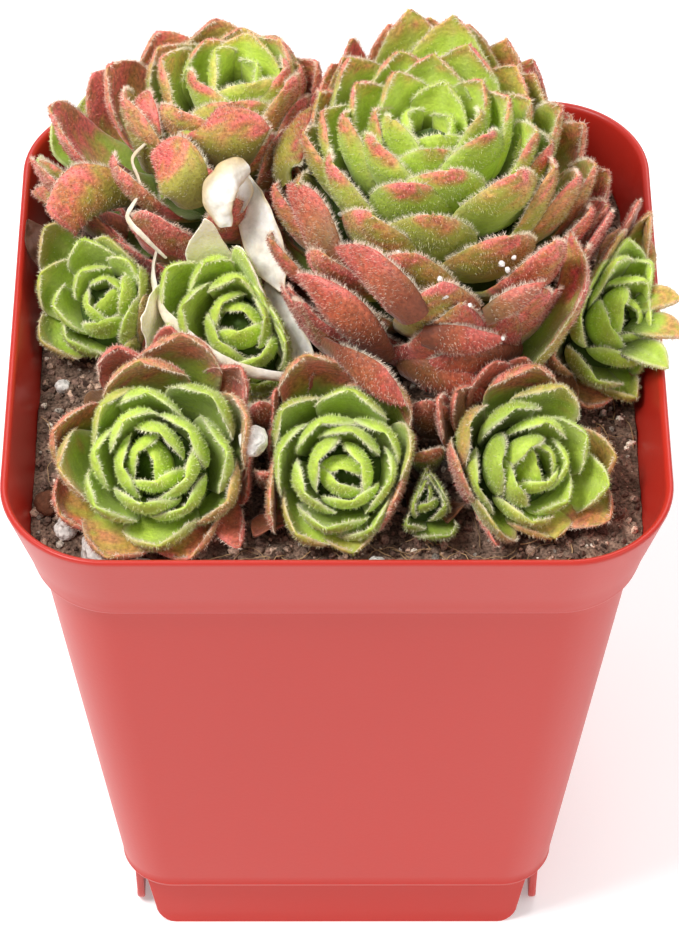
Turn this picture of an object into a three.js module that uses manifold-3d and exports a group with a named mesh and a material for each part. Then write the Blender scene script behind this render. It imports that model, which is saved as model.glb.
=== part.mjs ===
// A square nursery pot with soil and a clump of Rosularia platyphylla.
// Millimetres, z up. The origin is the middle of the footprint, at the level the pot stands on.

import * as THREE from 'three';
import { mergeVertices } from 'three/addons/utils/BufferGeometryUtils.js';
import Module from 'manifold-3d';

const wasm = await Module();
wasm.setup();
const { Manifold, Mesh } = wasm;

// Pot: square with round corners, tapering down, a deep rim band, four foot skirts.
const POT_HEIGHT = 98;
const RIM_HALF = 44.7;
const RIM_CORNER = 14.6;
const LIP_ROUND = 0.55;
const WALL = 1.1;
const BAND_HEIGHT = 14.6;
const BAND_FOOT_HALF = 40.8;
const BAND_FOOT_CORNER = 12;
const BODY_TOP_HALF = 39.6;
const BODY_TOP_CORNER = 9.5;
const FLOOR_HALF = 31.5;
const FLOOR_CORNER = 7.5;
const FLOOR_UNDER = 10.4;
const FLOOR_THICK = 1.4;
const SKIRT_HALF_TOP = 28.1;
const SKIRT_HALF_LOW = 26.9;
const SKIRT_LOW_HALF_GAP = 30.1;
const SKIRT_ROUND = 3.2;
const DRAIN_RADIUS = 3.6;
const DRAIN_OFFSET = 19;
const BAND_STEP = 1.2;
const EDGE_EASE = 0.1;
const SKIRT_INSET = 0.4;
const SKIRT_CURVE = 0.75;
const CORNER_STEPS = 6;

// Soil: fills the pot to below the rim, a low uneven mound.
const SOIL_EDGE = 88.7;
const SOIL_MOUND = 1.3;
const SOIL_ROUGH = 0.45;
const SOIL_EASE = 0.05;
const SOIL_SHARES = [0.88, 0.72, 0.52, 0.3, 0.12];
const CLEAR = 0.3;
const SMALLEST_DETAIL = 0.1;
const MERGE_WITHIN = 0.001;
const FINE_MERGE = 0.00002;
const MERGE_PASSES = 3;
const PLACE_STEPS_PER_MM = 10000;
const MOST_ATTEMPTS = 12;
const GROUND = SOIL_EDGE + SOIL_MOUND + 0.6;

// Stems: their width grows with the rosette, and they taper into the soil.
const STEM_DEPTH = 8;
const STEM_SIDES = 8;
const STEM_SHARE = 0.13;
const STEM_LEAST = 0.6;
const STEM_TAPER = 0.8;
const STEM_HEAD = 1.5;
const HOLE_HEAD = 3;

// Neighbouring rosettes press on each other, the wall and the soil, and keep this much clear.
const PRESS_GAP = 0.17;
const PRESS_REACH = 3.5;
const WALL_REACH = 1.6;
const GROUND_REACH = 1.2;
const WALL_DIRECTIONS = 16;
const RIM_LIMIT = 44.2;
const NEIGHBOUR_SPAN = 9;
const HARD_PASSES = 8;

const GOLDEN_ANGLE = 137.508;
const TAU = 2 * Math.PI;
const DEGREE = Math.PI / 180;

// Every rosette: base point, lean of its axis, count and size of its leaves.
// Pairs run from the youngest leaf in the heart to the oldest at the base.
const HABIT = {
  length: [0.36, 1.0],
  half: [0.18, 0.34],
  leanBase: [14, 88],
  leanTip: [-34, 2],
  ring: [0.05, 0.2],
  lift: [0.34, 0.02],
  cup: [1.25, 0.9],
  thick: [0.07, 0.09],
  roundness: 0.5,
  sag: 0,
  sagTip: 0,
  longer: 0.18,
  slim: 0,
  front: 270,
};

const ROSETTES = {
  rosette_main: {
    ...HABIT,
    base: [12.6, 12.4, 93.8],
    tilt: 0.5,
    toward: 300,
    spin: 20,
    hand: 1,
    count: 74,
    size: 26.5,
    length: [0.3, 1.42],
    half: [0.15, 0.36],
    leanBase: [18, 96],
    leanTip: [-14, 12],
    ring: [0.05, 0.32],
    lift: [0.78, 0.01],
    cup: [1.1, 0.8],
    thick: [0.05, 0.07],
    roundness: 0.6,
    sag: 18,
    sagTip: -2,
    longer: -0.1,
    front: 280,
    slim: 0.42,
    ball: [[12.9, 12, 107], 28.5],
  },
  rosette_second: {
    ...HABIT,
    base: [-13.4, 26.2, 92.8],
    tilt: 2,
    toward: 90,
    spin: 22,
    hand: 1,
    count: 43,
    size: 23.2,
    length: [0.3, 1.14],
    half: [0.18, 0.42],
    leanBase: [18, 95],
    leanTip: [-14, 8],
    ring: [0.05, 0.26],
    lift: [0.82, 0.02],
    cup: [1.0, 0.7],
    thick: [0.055, 0.075],
    roundness: 0.42,
    sag: 26,
    sagTip: 16,
    longer: -0.4,
    front: 225,
    ball: [[-16, 27, 106], 24],
  },
  rosette_front_left: {
    ...HABIT,
    base: [-23.3, -20.6, 90.7],
    tilt: 40,
    toward: 262,
    spin: 10,
    hand: 1,
    count: 26,
    size: 19,
    longer: 0.08,
    ball: [[-24, -25, 98], 17],
  },
  rosette_front_middle: {
    ...HABIT,
    base: [1.3, -22.0, 90.7],
    tilt: 42,
    toward: 266,
    spin: 100,
    hand: 1,
    count: 22,
    size: 17.2,
    longer: 0.12,
    slim: -0.12,
    half: [0.2, 0.37],
    ball: [[1.2, -25, 97], 15],
  },
  rosette_front_right: {
    ...HABIT,
    base: [22.8, -21.5, 90.7],
    tilt: 42,
    toward: 300,
    spin: 200,
    hand: -1,
    count: 22,
    size: 16.4,
    longer: 0.1,
    front: 320,
    ball: [[22.5, -24, 98], 14.5],
  },
  rosette_centre: {
    ...HABIT,
    base: [-12.2, 3.6, 91.2],
    tilt: 36,
    toward: 262,
    spin: 52,
    hand: -1,
    count: 23,
    size: 19,
    longer: 0.2,
    ball: [[-14, 0, 99], 14.5],
  },
  rosette_left: {
    ...HABIT,
    base: [-29.3, 7.5, 90.7],
    tilt: 30,
    toward: 240,
    spin: 300,
    hand: 1,
    count: 18,
    size: 15.2,
    longer: 0.1,
    ball: [[-33, 6, 97], 12.5],
  },
  rosette_right: {
    ...HABIT,
    base: [35.5, 5.0, 91.0],
    tilt: 40,
    toward: 305,
    spin: 30,
    hand: 1,
    count: 21,
    size: 18,
    half: [0.2, 0.34],
    leanTip: [-32, 10],
    longer: 0.1,
    front: 290,
    ball: [[37, 0, 99], 17.5],
  },
  rosette_bud: {
    ...HABIT,
    base: [11.2, -26.6, 90.6],
    tilt: 30,
    toward: 272,
    spin: 0,
    hand: 1,
    count: 12,
    size: 10,
    half: [0.24, 0.44],
    longer: 0,
    ball: [[11.6, -29.5, 94], 11.5],
  },
  rosette_back_left: {
    ...HABIT,
    base: [-31.0, 34.0, 90.7],
    tilt: 14,
    toward: 150,
    spin: 60,
    hand: 1,
    count: 13,
    size: 15,
    leanTip: [-20, 10],
    longer: -0.1,
    ball: [[-36, 37, 98], 13.5],
  },
};

// Stations along a blade, as shares of its length, for long and for short leaves.
const LONG_STATIONS = [0.2, 0.45, 0.68, 0.88];
const SHORT_STATIONS = [0.25, 0.58, 0.84];
const SMALL_STATIONS = [0.25, 0.72];
const LONG_LEAF = 29;
const SMALL_LEAF = 8;
const WIDEST = 0.62;
const NECK = 0.4;
const CUP_AT_ROOT = 0.55;
const TIP_THINNING = 0.45;
// Small steps along and across a leaf, to find which way its face looks.
const ALONG_STEP = 0.02;
const ACROSS_STEP = 0.12;

// The core passes through the leaves of these ages, at this share of their length.
const CORE_SHARE = 0.36;
const CORE_AGES = [1, 0.8, 0.6, 0.4, 0.2, 0.05];
const CORE_FOOT = -0.5;

// How leaves change with age: they grow fast at first, and sink at an even pace.
const GROWTH = 0.55;
const SETTLING = 0.9;
// How much one leaf may differ from the rule: radians, shares and degrees.
const TURN_VARIES = 0.3;
const LENGTH_VARIES = 0.18;
const WIDTH_VARIES = 0.14;
const TIP_VARIES = 13;
const ROLL_VARIES = 0.4;

// Loose dry leaves: root, tip, the way the face looks, half width, thickness and bow.
const DRY_LEAVES = {
  dry_leaf_strip: {
    root: [-7.3, 0.0, 103.5],
    tip: [-12.8, 14.5, 113.0],
    face: [-0.45, -0.55, 0.7],
    half: 2.3,
    thick: 0.8,
    bow: 1.2,
  },
  dry_leaf_curl: {
    root: [-13.0, 7.3, 111.2],
    tip: [-17.0, 11.0, 115.2],
    face: [-0.2, -0.75, 0.6],
    half: 2.9,
    thick: 0.8,
    bow: -1.0,
  },
  dry_leaf_long: {
    root: [-3.2, -8.4, 93.6],
    tip: [-9.6, 3.2, 102.2],
    face: [-0.3, -0.6, 0.74],
    half: 2.0,
    thick: 0.8,
    bow: 0.9,
  },
  dead_leaf: {
    root: [-38.8, 13.0, 94.0],
    tip: [-43.2, 18.2, 99.4],
    face: [-0.2, -0.5, 0.85],
    half: 2.2,
    thick: 0.9,
    bow: 0.8,
  },
};
const DRY_STATIONS = [0, 0.3, 0.6, 0.85];
const DRY_ROOT_SHARE = 0.6;
const DRY_WIDEST = 0.9;
const POCKET_SIDE = 1.5;

// Grains on the soil: x, y, height above the soil edge, and the three half widths.
const GRAINS = {
  perlite_corner: [-36.0, -31.0, 1.2, 2.0, 1.6, 1.5],
  perlite_front_left: [-31.9, -35.2, 1.0, 3.6, 1.9, 1.6],
  perlite_front: [-25.9, -38.0, 0.8, 2.0, 1.5, 1.3],
  perlite_middle: [4.7, -38.0, 0.7, 2.3, 1.4, 1.3],
  perlite_back: [36.2, 35.4, 0.6, 1.5, 1.3, 1.2],
  perlite_left: [-37.8, -4.5, 0.6, 1.1, 1.0, 1.0],
  bark_clod: [-38.6, -26.4, 0.9, 2.0, 2.0, 1.5],
};
const GRAIN_ON_LEAVES = [-11.5, -22.2, 8.6, 2.2, 1.9, 2.1];
const GRAIN_DETAIL = 1;
const GRAIN_ROUGH = 0.16;
const GRAIN_POCKET = 1.4;

function lerp(pair, share) {
  return pair[0] + (pair[1] - pair[0]) * share;
}

// A repeatable draw between 0 and 1.
function draw(seed, index) {
  const x = Math.sin(seed * 12.9898 + index * 78.233) * 43758.5453;
  return x - Math.floor(x);
}

// A closed solid from faces, with corners closer than the tolerance made one.
function solidOf(geometry, tolerance = FINE_MERGE) {
  const plain = geometry.index ? geometry.toNonIndexed() : geometry.clone();
  plain.deleteAttribute('normal');
  plain.deleteAttribute('uv');
  const merged = mergeVertices(plain, tolerance);
  const index = merged.index.array;
  const kept = [];
  for (let i = 0; i < index.length; i += 3) {
    const [a, b, c] = index.slice(i, i + 3);
    if (a !== b && b !== c && c !== a) kept.push(a, b, c);
  }
  return new Manifold(new Mesh({
    numProp: 3,
    vertProperties: merged.attributes.position.array,
    triVerts: new Uint32Array(kept),
  }));
}

function geometryOf(solid) {
  const mesh = solid.getMesh();
  const geometry = new THREE.BufferGeometry();
  const position = new Float32Array(mesh.vertProperties);
  geometry.setAttribute('position', new THREE.BufferAttribute(position, 3));
  geometry.setIndex(new THREE.BufferAttribute(new Uint32Array(mesh.triVerts), 1));
  return geometry;
}

function largestOf(solid) {
  let best = null;
  for (const body of solid.decompose()) {
    if (!best || body.volume() > best.volume()) best = body;
  }
  return best;
}

// True where every edge, by the rounded places of its ends, belongs to just two faces.
function everyEdgeTwice(solid) {
  const mesh = solid.getMesh();
  const place = (v) => {
    const at = mesh.vertProperties.slice(3 * v, 3 * v + 3);
    return Array.from(at, (c) => Math.round(c * PLACE_STEPS_PER_MM)).join(' ');
  };
  const edges = new Map();
  for (let i = 0; i < mesh.triVerts.length; i += 3) {
    const corners = Array.from(mesh.triVerts.slice(i, i + 3), place);
    for (let k = 0; k < 3; k += 1) {
      const pair = [corners[k], corners[(k + 1) % 3]].sort().join('|');
      edges.set(pair, (edges.get(pair) ?? 0) + 1);
    }
  }
  return Array.from(edges.values()).every((count) => count === 2);
}

// The largest body of a joined solid: sealed hollows are filled and scraps are dropped.
// Detail is dropped a little harder each try, until no two edges fall together.
function wholeBody(solid) {
  const start = largestOf(solid).asOriginal();
  let body = start;
  for (let attempt = 0; attempt < MOST_ATTEMPTS; attempt += 1) {
    body = start.simplify(SMALLEST_DETAIL * (1 + attempt / MOST_ATTEMPTS));
    for (let pass = 0; pass < MERGE_PASSES; pass += 1) {
      body = largestOf(solidOf(geometryOf(largestOf(body)), MERGE_WITHIN));
    }
    if (everyEdgeTwice(body)) break;
  }
  return body;
}

// A closed skin over rings of equal count, with a flat fan at each end.
function skin(rings) {
  const count = rings[0].length;
  const points = [];
  const faces = [];
  for (const ring of rings) points.push(...ring);
  for (let k = 0; k + 1 < rings.length; k += 1) {
    for (let i = 0; i < count; i += 1) {
      const a = k * count + i;
      const b = k * count + ((i + 1) % count);
      faces.push([a, b, b + count], [a, b + count, a + count]);
    }
  }
  const last = (rings.length - 1) * count;
  const low = points.length;
  points.push(middleOf(rings[0]));
  points.push(middleOf(rings[rings.length - 1]));
  for (let i = 0; i < count; i += 1) {
    const next = (i + 1) % count;
    faces.push([low, next, i], [low + 1, last + i, last + next]);
  }
  return facesGeometry(points, faces);
}

function middleOf(ring) {
  const middle = new THREE.Vector3();
  for (const p of ring) middle.add(p);
  return middle.divideScalar(ring.length);
}

function facesGeometry(points, faces) {
  const position = [];
  for (const face of faces) {
    for (const index of face) position.push(points[index].x, points[index].y, points[index].z);
  }
  const geometry = new THREE.BufferGeometry();
  geometry.setAttribute('position', new THREE.Float32BufferAttribute(position, 3));
  return geometry;
}

// A square ring with round corners at one level.
function squareRing(half, corner, level) {
  const ring = [];
  for (let quarter = 0; quarter < 4; quarter += 1) {
    const sx = quarter === 0 || quarter === 3 ? 1 : -1;
    const sy = quarter < 2 ? 1 : -1;
    for (let step = 0; step < CORNER_STEPS; step += 1) {
      const angle = (quarter + step / (CORNER_STEPS - 1)) * TAU / 4;
      const x = sx * (half - corner) + corner * Math.cos(angle);
      const y = sy * (half - corner) + corner * Math.sin(angle);
      ring.push(new THREE.Vector3(x, y, level));
    }
  }
  return ring;
}

// How fast the pot widens, and its corners grow, per millimetre of height.
const BAND_FOOT = POT_HEIGHT - BAND_HEIGHT;
const BAND_SLOPE = (RIM_HALF - BAND_FOOT_HALF) / BAND_HEIGHT;
const BAND_CORNER_SLOPE = (RIM_CORNER - BAND_FOOT_CORNER) / BAND_HEIGHT;
const BODY_SLOPE = (BODY_TOP_HALF - FLOOR_HALF) / (BAND_FOOT - FLOOR_UNDER);
const BODY_CORNER_SLOPE = (BODY_TOP_CORNER - FLOOR_CORNER) / (BAND_FOOT - FLOOR_UNDER);

function outerRing(level, inset) {
  if (level > BAND_FOOT) {
    const drop = POT_HEIGHT - level;
    const half = RIM_HALF - drop * BAND_SLOPE - inset;
    return squareRing(half, RIM_CORNER - drop * BAND_CORNER_SLOPE - inset, level);
  }
  const rise = level - FLOOR_UNDER;
  const half = FLOOR_HALF + rise * BODY_SLOPE - inset;
  return squareRing(half, FLOOR_CORNER + rise * BODY_CORNER_SLOPE - inset, level);
}

function makePot() {
  const step = BAND_STEP;
  const floor = FLOOR_UNDER + FLOOR_THICK;
  const shell = skin([
    squareRing(FLOOR_HALF - step / 2, FLOOR_CORNER - step / 2, FLOOR_UNDER),
    squareRing(FLOOR_HALF + EDGE_EASE, FLOOR_CORNER, FLOOR_UNDER + step / 2),
    outerRing(BAND_FOOT - step, 0),
    outerRing(BAND_FOOT - step / 4, -EDGE_EASE),
    squareRing(BAND_FOOT_HALF - step / 3, BAND_FOOT_CORNER - 2 * step / 3, BAND_FOOT),
    squareRing(BAND_FOOT_HALF + EDGE_EASE, BAND_FOOT_CORNER, BAND_FOOT + 2 * step / 3),
    outerRing(POT_HEIGHT - 2 * LIP_ROUND, 0),
    outerRing(POT_HEIGHT - LIP_ROUND / 2, LIP_ROUND / 4),
    outerRing(POT_HEIGHT, LIP_ROUND),
    outerRing(POT_HEIGHT - LIP_ROUND / 2, WALL - LIP_ROUND / 4),
    outerRing(POT_HEIGHT - 2 * LIP_ROUND, WALL),
    outerRing(BAND_FOOT + step, WALL),
    outerRing(BAND_FOOT - step, WALL),
    outerRing(floor, WALL),
  ]);
  let pot = solidOf(shell);
  for (let side = 0; side < 4; side += 1) {
    const turn = new THREE.Matrix4().makeRotationZ(side * TAU / 4);
    pot = pot.add(solidOf(skirtGeometry().applyMatrix4(turn)));
  }
  for (let side = 0; side < 4; side += 1) {
    const drain = new THREE.CylinderGeometry(DRAIN_RADIUS, DRAIN_RADIUS, 4 * FLOOR_THICK, 12);
    drain.rotateX(TAU / 4);
    drain.translate(DRAIN_OFFSET, DRAIN_OFFSET, FLOOR_UNDER);
    drain.rotateZ(side * TAU / 4);
    pot = pot.subtract(solidOf(drain));
  }
  return pot;
}

// One foot skirt on the -y side, its outer face following the taper of the body.
function skirtGeometry() {
  const top = FLOOR_UNDER + FLOOR_THICK / 2;
  const outline = new THREE.Shape();
  outline.moveTo(-SKIRT_HALF_TOP, top);
  outline.lineTo(-SKIRT_HALF_LOW, SKIRT_ROUND);
  outline.quadraticCurveTo(-SKIRT_HALF_LOW, 0, -SKIRT_HALF_LOW + SKIRT_ROUND * SKIRT_CURVE, 0);
  outline.lineTo(SKIRT_HALF_LOW - SKIRT_ROUND * SKIRT_CURVE, 0);
  outline.quadraticCurveTo(SKIRT_HALF_LOW, 0, SKIRT_HALF_LOW, SKIRT_ROUND);
  outline.lineTo(SKIRT_HALF_TOP, top);
  outline.closePath();
  const options = { depth: WALL, bevelEnabled: false, curveSegments: 3, steps: 1 };
  const plate = new THREE.ExtrudeGeometry(outline, options);
  plate.rotateX(TAU / 4);
  const slope = (FLOOR_HALF - SKIRT_INSET - SKIRT_LOW_HALF_GAP) / top;
  const shear = new THREE.Matrix4().set(
    1, 0, 0, 0,
    0, 1, -slope, WALL - SKIRT_LOW_HALF_GAP,
    0, 0, 1, 0,
    0, 0, 0, 1,
  );
  return plate.applyMatrix4(shear);
}

// Stem of a rosette, straight down into the soil.
function stemRadius(plan) {
  return STEM_SHARE * plan.size + STEM_LEAST;
}

function stemGeometry(plan, extra, top) {
  const bottom = SOIL_EDGE - STEM_DEPTH - extra;
  const radius = stemRadius(plan) + extra;
  const stem = new THREE.CylinderGeometry(radius, radius * STEM_TAPER, top - bottom, STEM_SIDES);
  stem.rotateX(TAU / 4);
  stem.translate(plan.base[0], plan.base[1], (top + bottom) / 2);
  return stem;
}

// Height of the soil's top, a low mound with seeded lumps.
function soilTop(x, y) {
  const edge = Math.max(Math.abs(x), Math.abs(y)) / BAND_FOOT_HALF;
  const mound = SOIL_MOUND * (1 - Math.min(1, edge) ** 2);
  const lumps = Math.sin(x * 0.61 + 1.3) * Math.cos(y * 0.53 - 0.4) + Math.sin(x * 0.23 - y * 0.37);
  return SOIL_EDGE + mound + SOIL_ROUGH * lumps / 2;
}

function makeSoil(grains) {
  const floor = FLOOR_UNDER + FLOOR_THICK + CLEAR;
  const inset = WALL + CLEAR;
  const rings = [
    outerRing(floor, inset),
    outerRing(BAND_FOOT - BAND_STEP - CLEAR, inset + SOIL_EASE),
    outerRing(BAND_FOOT + BAND_STEP, inset + SOIL_EASE),
    outerRing(SOIL_EDGE, inset),
  ];
  for (const share of SOIL_SHARES) {
    const ring = outerRing(SOIL_EDGE, inset).map((p) => {
      const x = p.x * share;
      const y = p.y * share;
      return new THREE.Vector3(x, y, soilTop(x, y));
    });
    rings.push(ring);
  }
  let soil = solidOf(skin(rings));
  for (const plan of Object.values(ROSETTES)) {
    soil = soil.subtract(solidOf(stemGeometry(plan, CLEAR, GROUND + HOLE_HEAD)));
  }
  for (const grain of Object.values(grains)) {
    soil = soil.subtract(grain.pocket);
  }
  return wholeBody(soil);
}

// A rough grain: a ball with seeded dents. The pocket is the same grain, slightly larger.
function makeGrain(numbers, seed) {
  const [x, y, rise, rx, ry, rz] = numbers;
  const level = SOIL_EDGE + rise;
  const ball = (extra) => {
    const geometry = new THREE.IcosahedronGeometry(1, GRAIN_DETAIL);
    const position = geometry.getAttribute('position');
    for (let i = 0; i < position.count; i += 1) {
      const p = new THREE.Vector3().fromBufferAttribute(position, i);
      const wave = Math.sin(3.1 * p.x + seed) * Math.cos(2.7 * p.y - seed) + Math.sin(3.7 * p.z + 2 * seed);
      p.multiplyScalar(1 + GRAIN_ROUGH * wave / 2);
      p.set(p.x * (rx + extra), p.y * (ry + extra), p.z * (rz + extra));
      position.setXYZ(i, p.x, p.y, p.z);
    }
    geometry.rotateZ(seed);
    geometry.translate(x, y, level);
    return solidOf(geometry);
  };
  return { body: ball(0), pocket: ball(CLEAR * GRAIN_POCKET) };
}

// The frame of a rosette: its own z runs along its axis.
function frameOf(plan) {
  const tilt = plan.tilt * DEGREE;
  const toward = plan.toward * DEGREE;
  const axis = new THREE.Vector3(
    Math.sin(tilt) * Math.cos(toward),
    Math.sin(tilt) * Math.sin(toward),
    Math.cos(tilt),
  );
  const turn = new THREE.Quaternion().setFromUnitVectors(new THREE.Vector3(0, 0, 1), axis);
  const place = new THREE.Matrix4().makeRotationFromQuaternion(turn);
  return place.setPosition(...plan.base);
}

// Planes that a rosette keeps clear of: midway to each neighbour, the wall, the rim, the soil.
function limitsOf(name) {
  const plan = ROSETTES[name];
  const centre = new THREE.Vector3(...plan.ball[0]);
  const limits = [];
  for (const [other, next] of Object.entries(ROSETTES)) {
    if (other === name) continue;
    const way = new THREE.Vector3(...next.ball[0]).sub(centre);
    const span = way.length();
    if (span > plan.ball[1] + next.ball[1] + NEIGHBOUR_SPAN) continue;
    const share = (span * span + plan.ball[1] ** 2 - next.ball[1] ** 2) / (2 * span);
    way.divideScalar(span);
    const point = centre.clone().addScaledVector(way, share);
    limits.push({ point, normal: way, reach: PRESS_REACH });
  }
  for (let k = 0; k < WALL_DIRECTIONS; k += 1) {
    const angle = k * TAU / WALL_DIRECTIONS;
    const c = Math.cos(angle);
    const s = Math.sin(angle);
    const half = RIM_HALF - WALL - CLEAR;
    const corner = RIM_CORNER - WALL - CLEAR;
    const reach = (half - corner) * (Math.abs(c) + Math.abs(s)) + corner;
    const normal = new THREE.Vector3(c, s, -BAND_SLOPE).normalize();
    const point = new THREE.Vector3(c * reach, s * reach, POT_HEIGHT);
    limits.push({ point, normal, reach: WALL_REACH });
    if (k % (WALL_DIRECTIONS / 4) === 0) {
      const rim = new THREE.Vector3(c * RIM_LIMIT, s * RIM_LIMIT, POT_HEIGHT);
      limits.push({ point: rim, normal: new THREE.Vector3(c, s, 0), reach: WALL_REACH });
    }
  }
  const down = new THREE.Vector3(0, 0, -1);
  limits.push({ point: new THREE.Vector3(0, 0, GROUND), normal: down, reach: GROUND_REACH });
  return limits;
}

// Moves a point of a leaf back from every limit, gently at first.
function press(point, limits, half) {
  const keep = PRESS_GAP + half;
  for (const limit of limits) {
    const reach = limit.reach + half;
    const d = point.clone().sub(limit.point).dot(limit.normal);
    if (d > -reach) {
      const room = reach - keep;
      const held = -keep - room * Math.exp(-(d + reach) / room);
      point.addScaledVector(limit.normal, held - d);
    }
  }
  for (let pass = 0; pass < HARD_PASSES; pass += 1) {
    for (const limit of limits) {
      const d = point.clone().sub(limit.point).dot(limit.normal);
      if (d > -keep) point.addScaledVector(limit.normal, -keep - d);
    }
  }
  return point;
}

// The shape of a leaf of a given age, before its own small differences.
function meanRule(plan, age) {
  const grown = age ** GROWTH;
  return {
    around: 0,
    length: plan.size * lerp(plan.length, grown),
    half: plan.size * lerp(plan.half, grown),
    leanBase: lerp(plan.leanBase, grown) * DEGREE,
    leanTip: lerp(plan.leanTip, grown) * DEGREE,
    ring: plan.size * lerp(plan.ring, grown),
    lift: plan.size * lerp(plan.lift, age ** SETTLING),
    cup: lerp(plan.cup, grown),
    thick: plan.size * lerp(plan.thick, grown),
    roll: 0,
    roundness: plan.roundness,
  };
}

// The rule that shapes leaf number i of a rosette.
function leafRule(plan, i, seed) {
  const age = (i + 0.6) / plan.count;
  const rule = meanRule(plan, age);
  const vary = (slot) => draw(seed, i * 5 + slot) - 0.5;
  rule.around = plan.spin * DEGREE + plan.hand * GOLDEN_ANGLE * DEGREE * i + TURN_VARIES * vary(1);
  const face = Math.cos(rule.around - plan.front * DEGREE) * age;
  const aside = Math.sin(rule.around - plan.front * DEGREE) ** 2 * age;
  rule.length *= (1 - plan.longer * face) * (1 - plan.slim * aside) * (1 + LENGTH_VARIES * vary(2));
  rule.half *= 1 + WIDTH_VARIES * vary(3);
  rule.leanBase += plan.sag * face * DEGREE;
  rule.leanTip += (plan.sagTip * face + TIP_VARIES * vary(4)) * DEGREE;
  rule.roll = ROLL_VARIES * vary(5);
  return rule;
}

// A point on the middle surface of a leaf, s from root to tip, t from edge to edge.
function leafPoint(rule, s, t) {
  const bend = rule.leanTip - rule.leanBase || 0.0001;
  const lean = rule.leanBase + bend * s;
  let out = rule.ring + rule.length * (Math.cos(rule.leanBase) - Math.cos(lean)) / bend;
  let up = rule.lift + rule.length * (Math.sin(lean) - Math.sin(rule.leanBase)) / bend;
  const past = Math.min(1, Math.max(0, (s - WIDEST) / (1 - WIDEST)));
  const rise = NECK + (1 - NECK) * Math.sin(Math.PI / 2 * Math.min(1, s / WIDEST));
  const half = rule.half * rise * Math.max(0, 1 - past * past) ** rule.roundness;
  const arc = rule.cup * (CUP_AT_ROOT + (1 - CUP_AT_ROOT) * s);
  const side = half * Math.sin(arc * t) / arc;
  const offset = half * (1 - Math.cos(arc * t)) / arc + rule.roll * side;
  out -= Math.cos(lean) * offset;
  up += Math.sin(lean) * offset;
  const c = Math.cos(rule.around);
  const n = Math.sin(rule.around);
  return new THREE.Vector3(out * c - side * n, out * n + side * c, up);
}

// One leaf: edge, keel, edge and middle rib at each station, and a pointed tip.
function leafGeometry(rule, frame, limits) {
  const at = (s, t) => press(leafPoint(rule, s, t).applyMatrix4(frame), limits, rule.thick / 2);
  let stations = rule.length > LONG_LEAF ? LONG_STATIONS : SHORT_STATIONS;
  if (rule.length < SMALL_LEAF) stations = SMALL_STATIONS;
  const points = [];
  for (const s of stations) {
    const middle = at(s, 0);
    const along = at(s + ALONG_STEP, 0).sub(at(s - ALONG_STEP, 0));
    const across = at(s, ACROSS_STEP).sub(at(s, -ACROSS_STEP));
    const inward = along.cross(across).normalize();
    const thick = rule.thick * (1 - TIP_THINNING * s);
    points.push(at(s, -1));
    points.push(middle.clone().addScaledVector(inward, -thick / 2));
    points.push(at(s, 1));
    points.push(middle.clone().addScaledVector(inward, thick / 2));
  }
  points.push(at(1, 0));
  return facesGeometry(points, bladeFaces(stations.length));
}

// Faces of a blade: edge, keel, edge and rib at each station, then one point at the tip.
function bladeFaces(count) {
  const tip = 4 * count;
  const faces = [[0, 2, 1], [0, 3, 2]];
  for (let k = 0; k + 1 < count; k += 1) {
    const a = 4 * k;
    const b = a + 4;
    faces.push([a, b + 1, b], [a, a + 1, b + 1]);
    faces.push([a + 2, b + 1, a + 1], [a + 2, b + 2, b + 1]);
    faces.push([a, b, b + 3], [a, b + 3, a + 3]);
    faces.push([a + 2, a + 3, b + 3], [a + 2, b + 3, b + 2]);
  }
  const e = tip - 4;
  faces.push([e, e + 1, tip], [e + 1, e + 2, tip], [e + 2, e + 3, tip], [e + 3, e, tip]);
  return faces;
}

// A loose leaf between two points. Extra makes it larger all round, for a pocket.
function looseLeaf(shape, extra) {
  const root = new THREE.Vector3(...shape.root);
  const tip = new THREE.Vector3(...shape.tip);
  const along = tip.clone().sub(root).normalize();
  root.addScaledVector(along, -extra);
  tip.addScaledVector(along, 2 * extra);
  const face = new THREE.Vector3(...shape.face);
  const across = face.cross(along).normalize();
  const up = along.clone().cross(across).normalize();
  const half = shape.thick / 2 + extra;
  const points = [];
  for (const s of DRY_STATIONS) {
    const middle = root.clone().lerp(tip, s).addScaledVector(up, 4 * shape.bow * s * (1 - s));
    const swell = DRY_ROOT_SHARE + (1 - DRY_ROOT_SHARE) * Math.sin(Math.PI * Math.min(1, s / DRY_WIDEST));
    const side = (shape.half + POCKET_SIDE * extra) * swell;
    points.push(middle.clone().addScaledVector(across, -side));
    points.push(middle.clone().addScaledVector(up, -half));
    points.push(middle.clone().addScaledVector(across, side));
    points.push(middle.clone().addScaledVector(up, half));
  }
  points.push(tip);
  return solidOf(facesGeometry(points, bladeFaces(DRY_STATIONS.length)));
}

// The short stalk inside a rosette, which all its leaves stand out of.
function coreGeometry(plan, limits) {
  const radius = stemRadius(plan);
  const profile = [new THREE.Vector2(0, CORE_FOOT), new THREE.Vector2(radius, CORE_FOOT)];
  for (const age of CORE_AGES) {
    const rule = meanRule(plan, age);
    const point = leafPoint(rule, CORE_SHARE, 0);
    profile.push(new THREE.Vector2(point.x, point.z));
  }
  const top = profile[profile.length - 1];
  profile.push(new THREE.Vector2(0, top.y + top.x));
  const core = new THREE.LatheGeometry(profile, STEM_SIDES);
  core.rotateX(TAU / 4);
  core.applyMatrix4(frameOf(plan));
  const position = core.getAttribute('position');
  for (let i = 0; i < position.count; i += 1) {
    const point = new THREE.Vector3().fromBufferAttribute(position, i);
    press(point, limits, 0);
    position.setXYZ(i, point.x, point.y, point.z);
  }
  return core;
}

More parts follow.
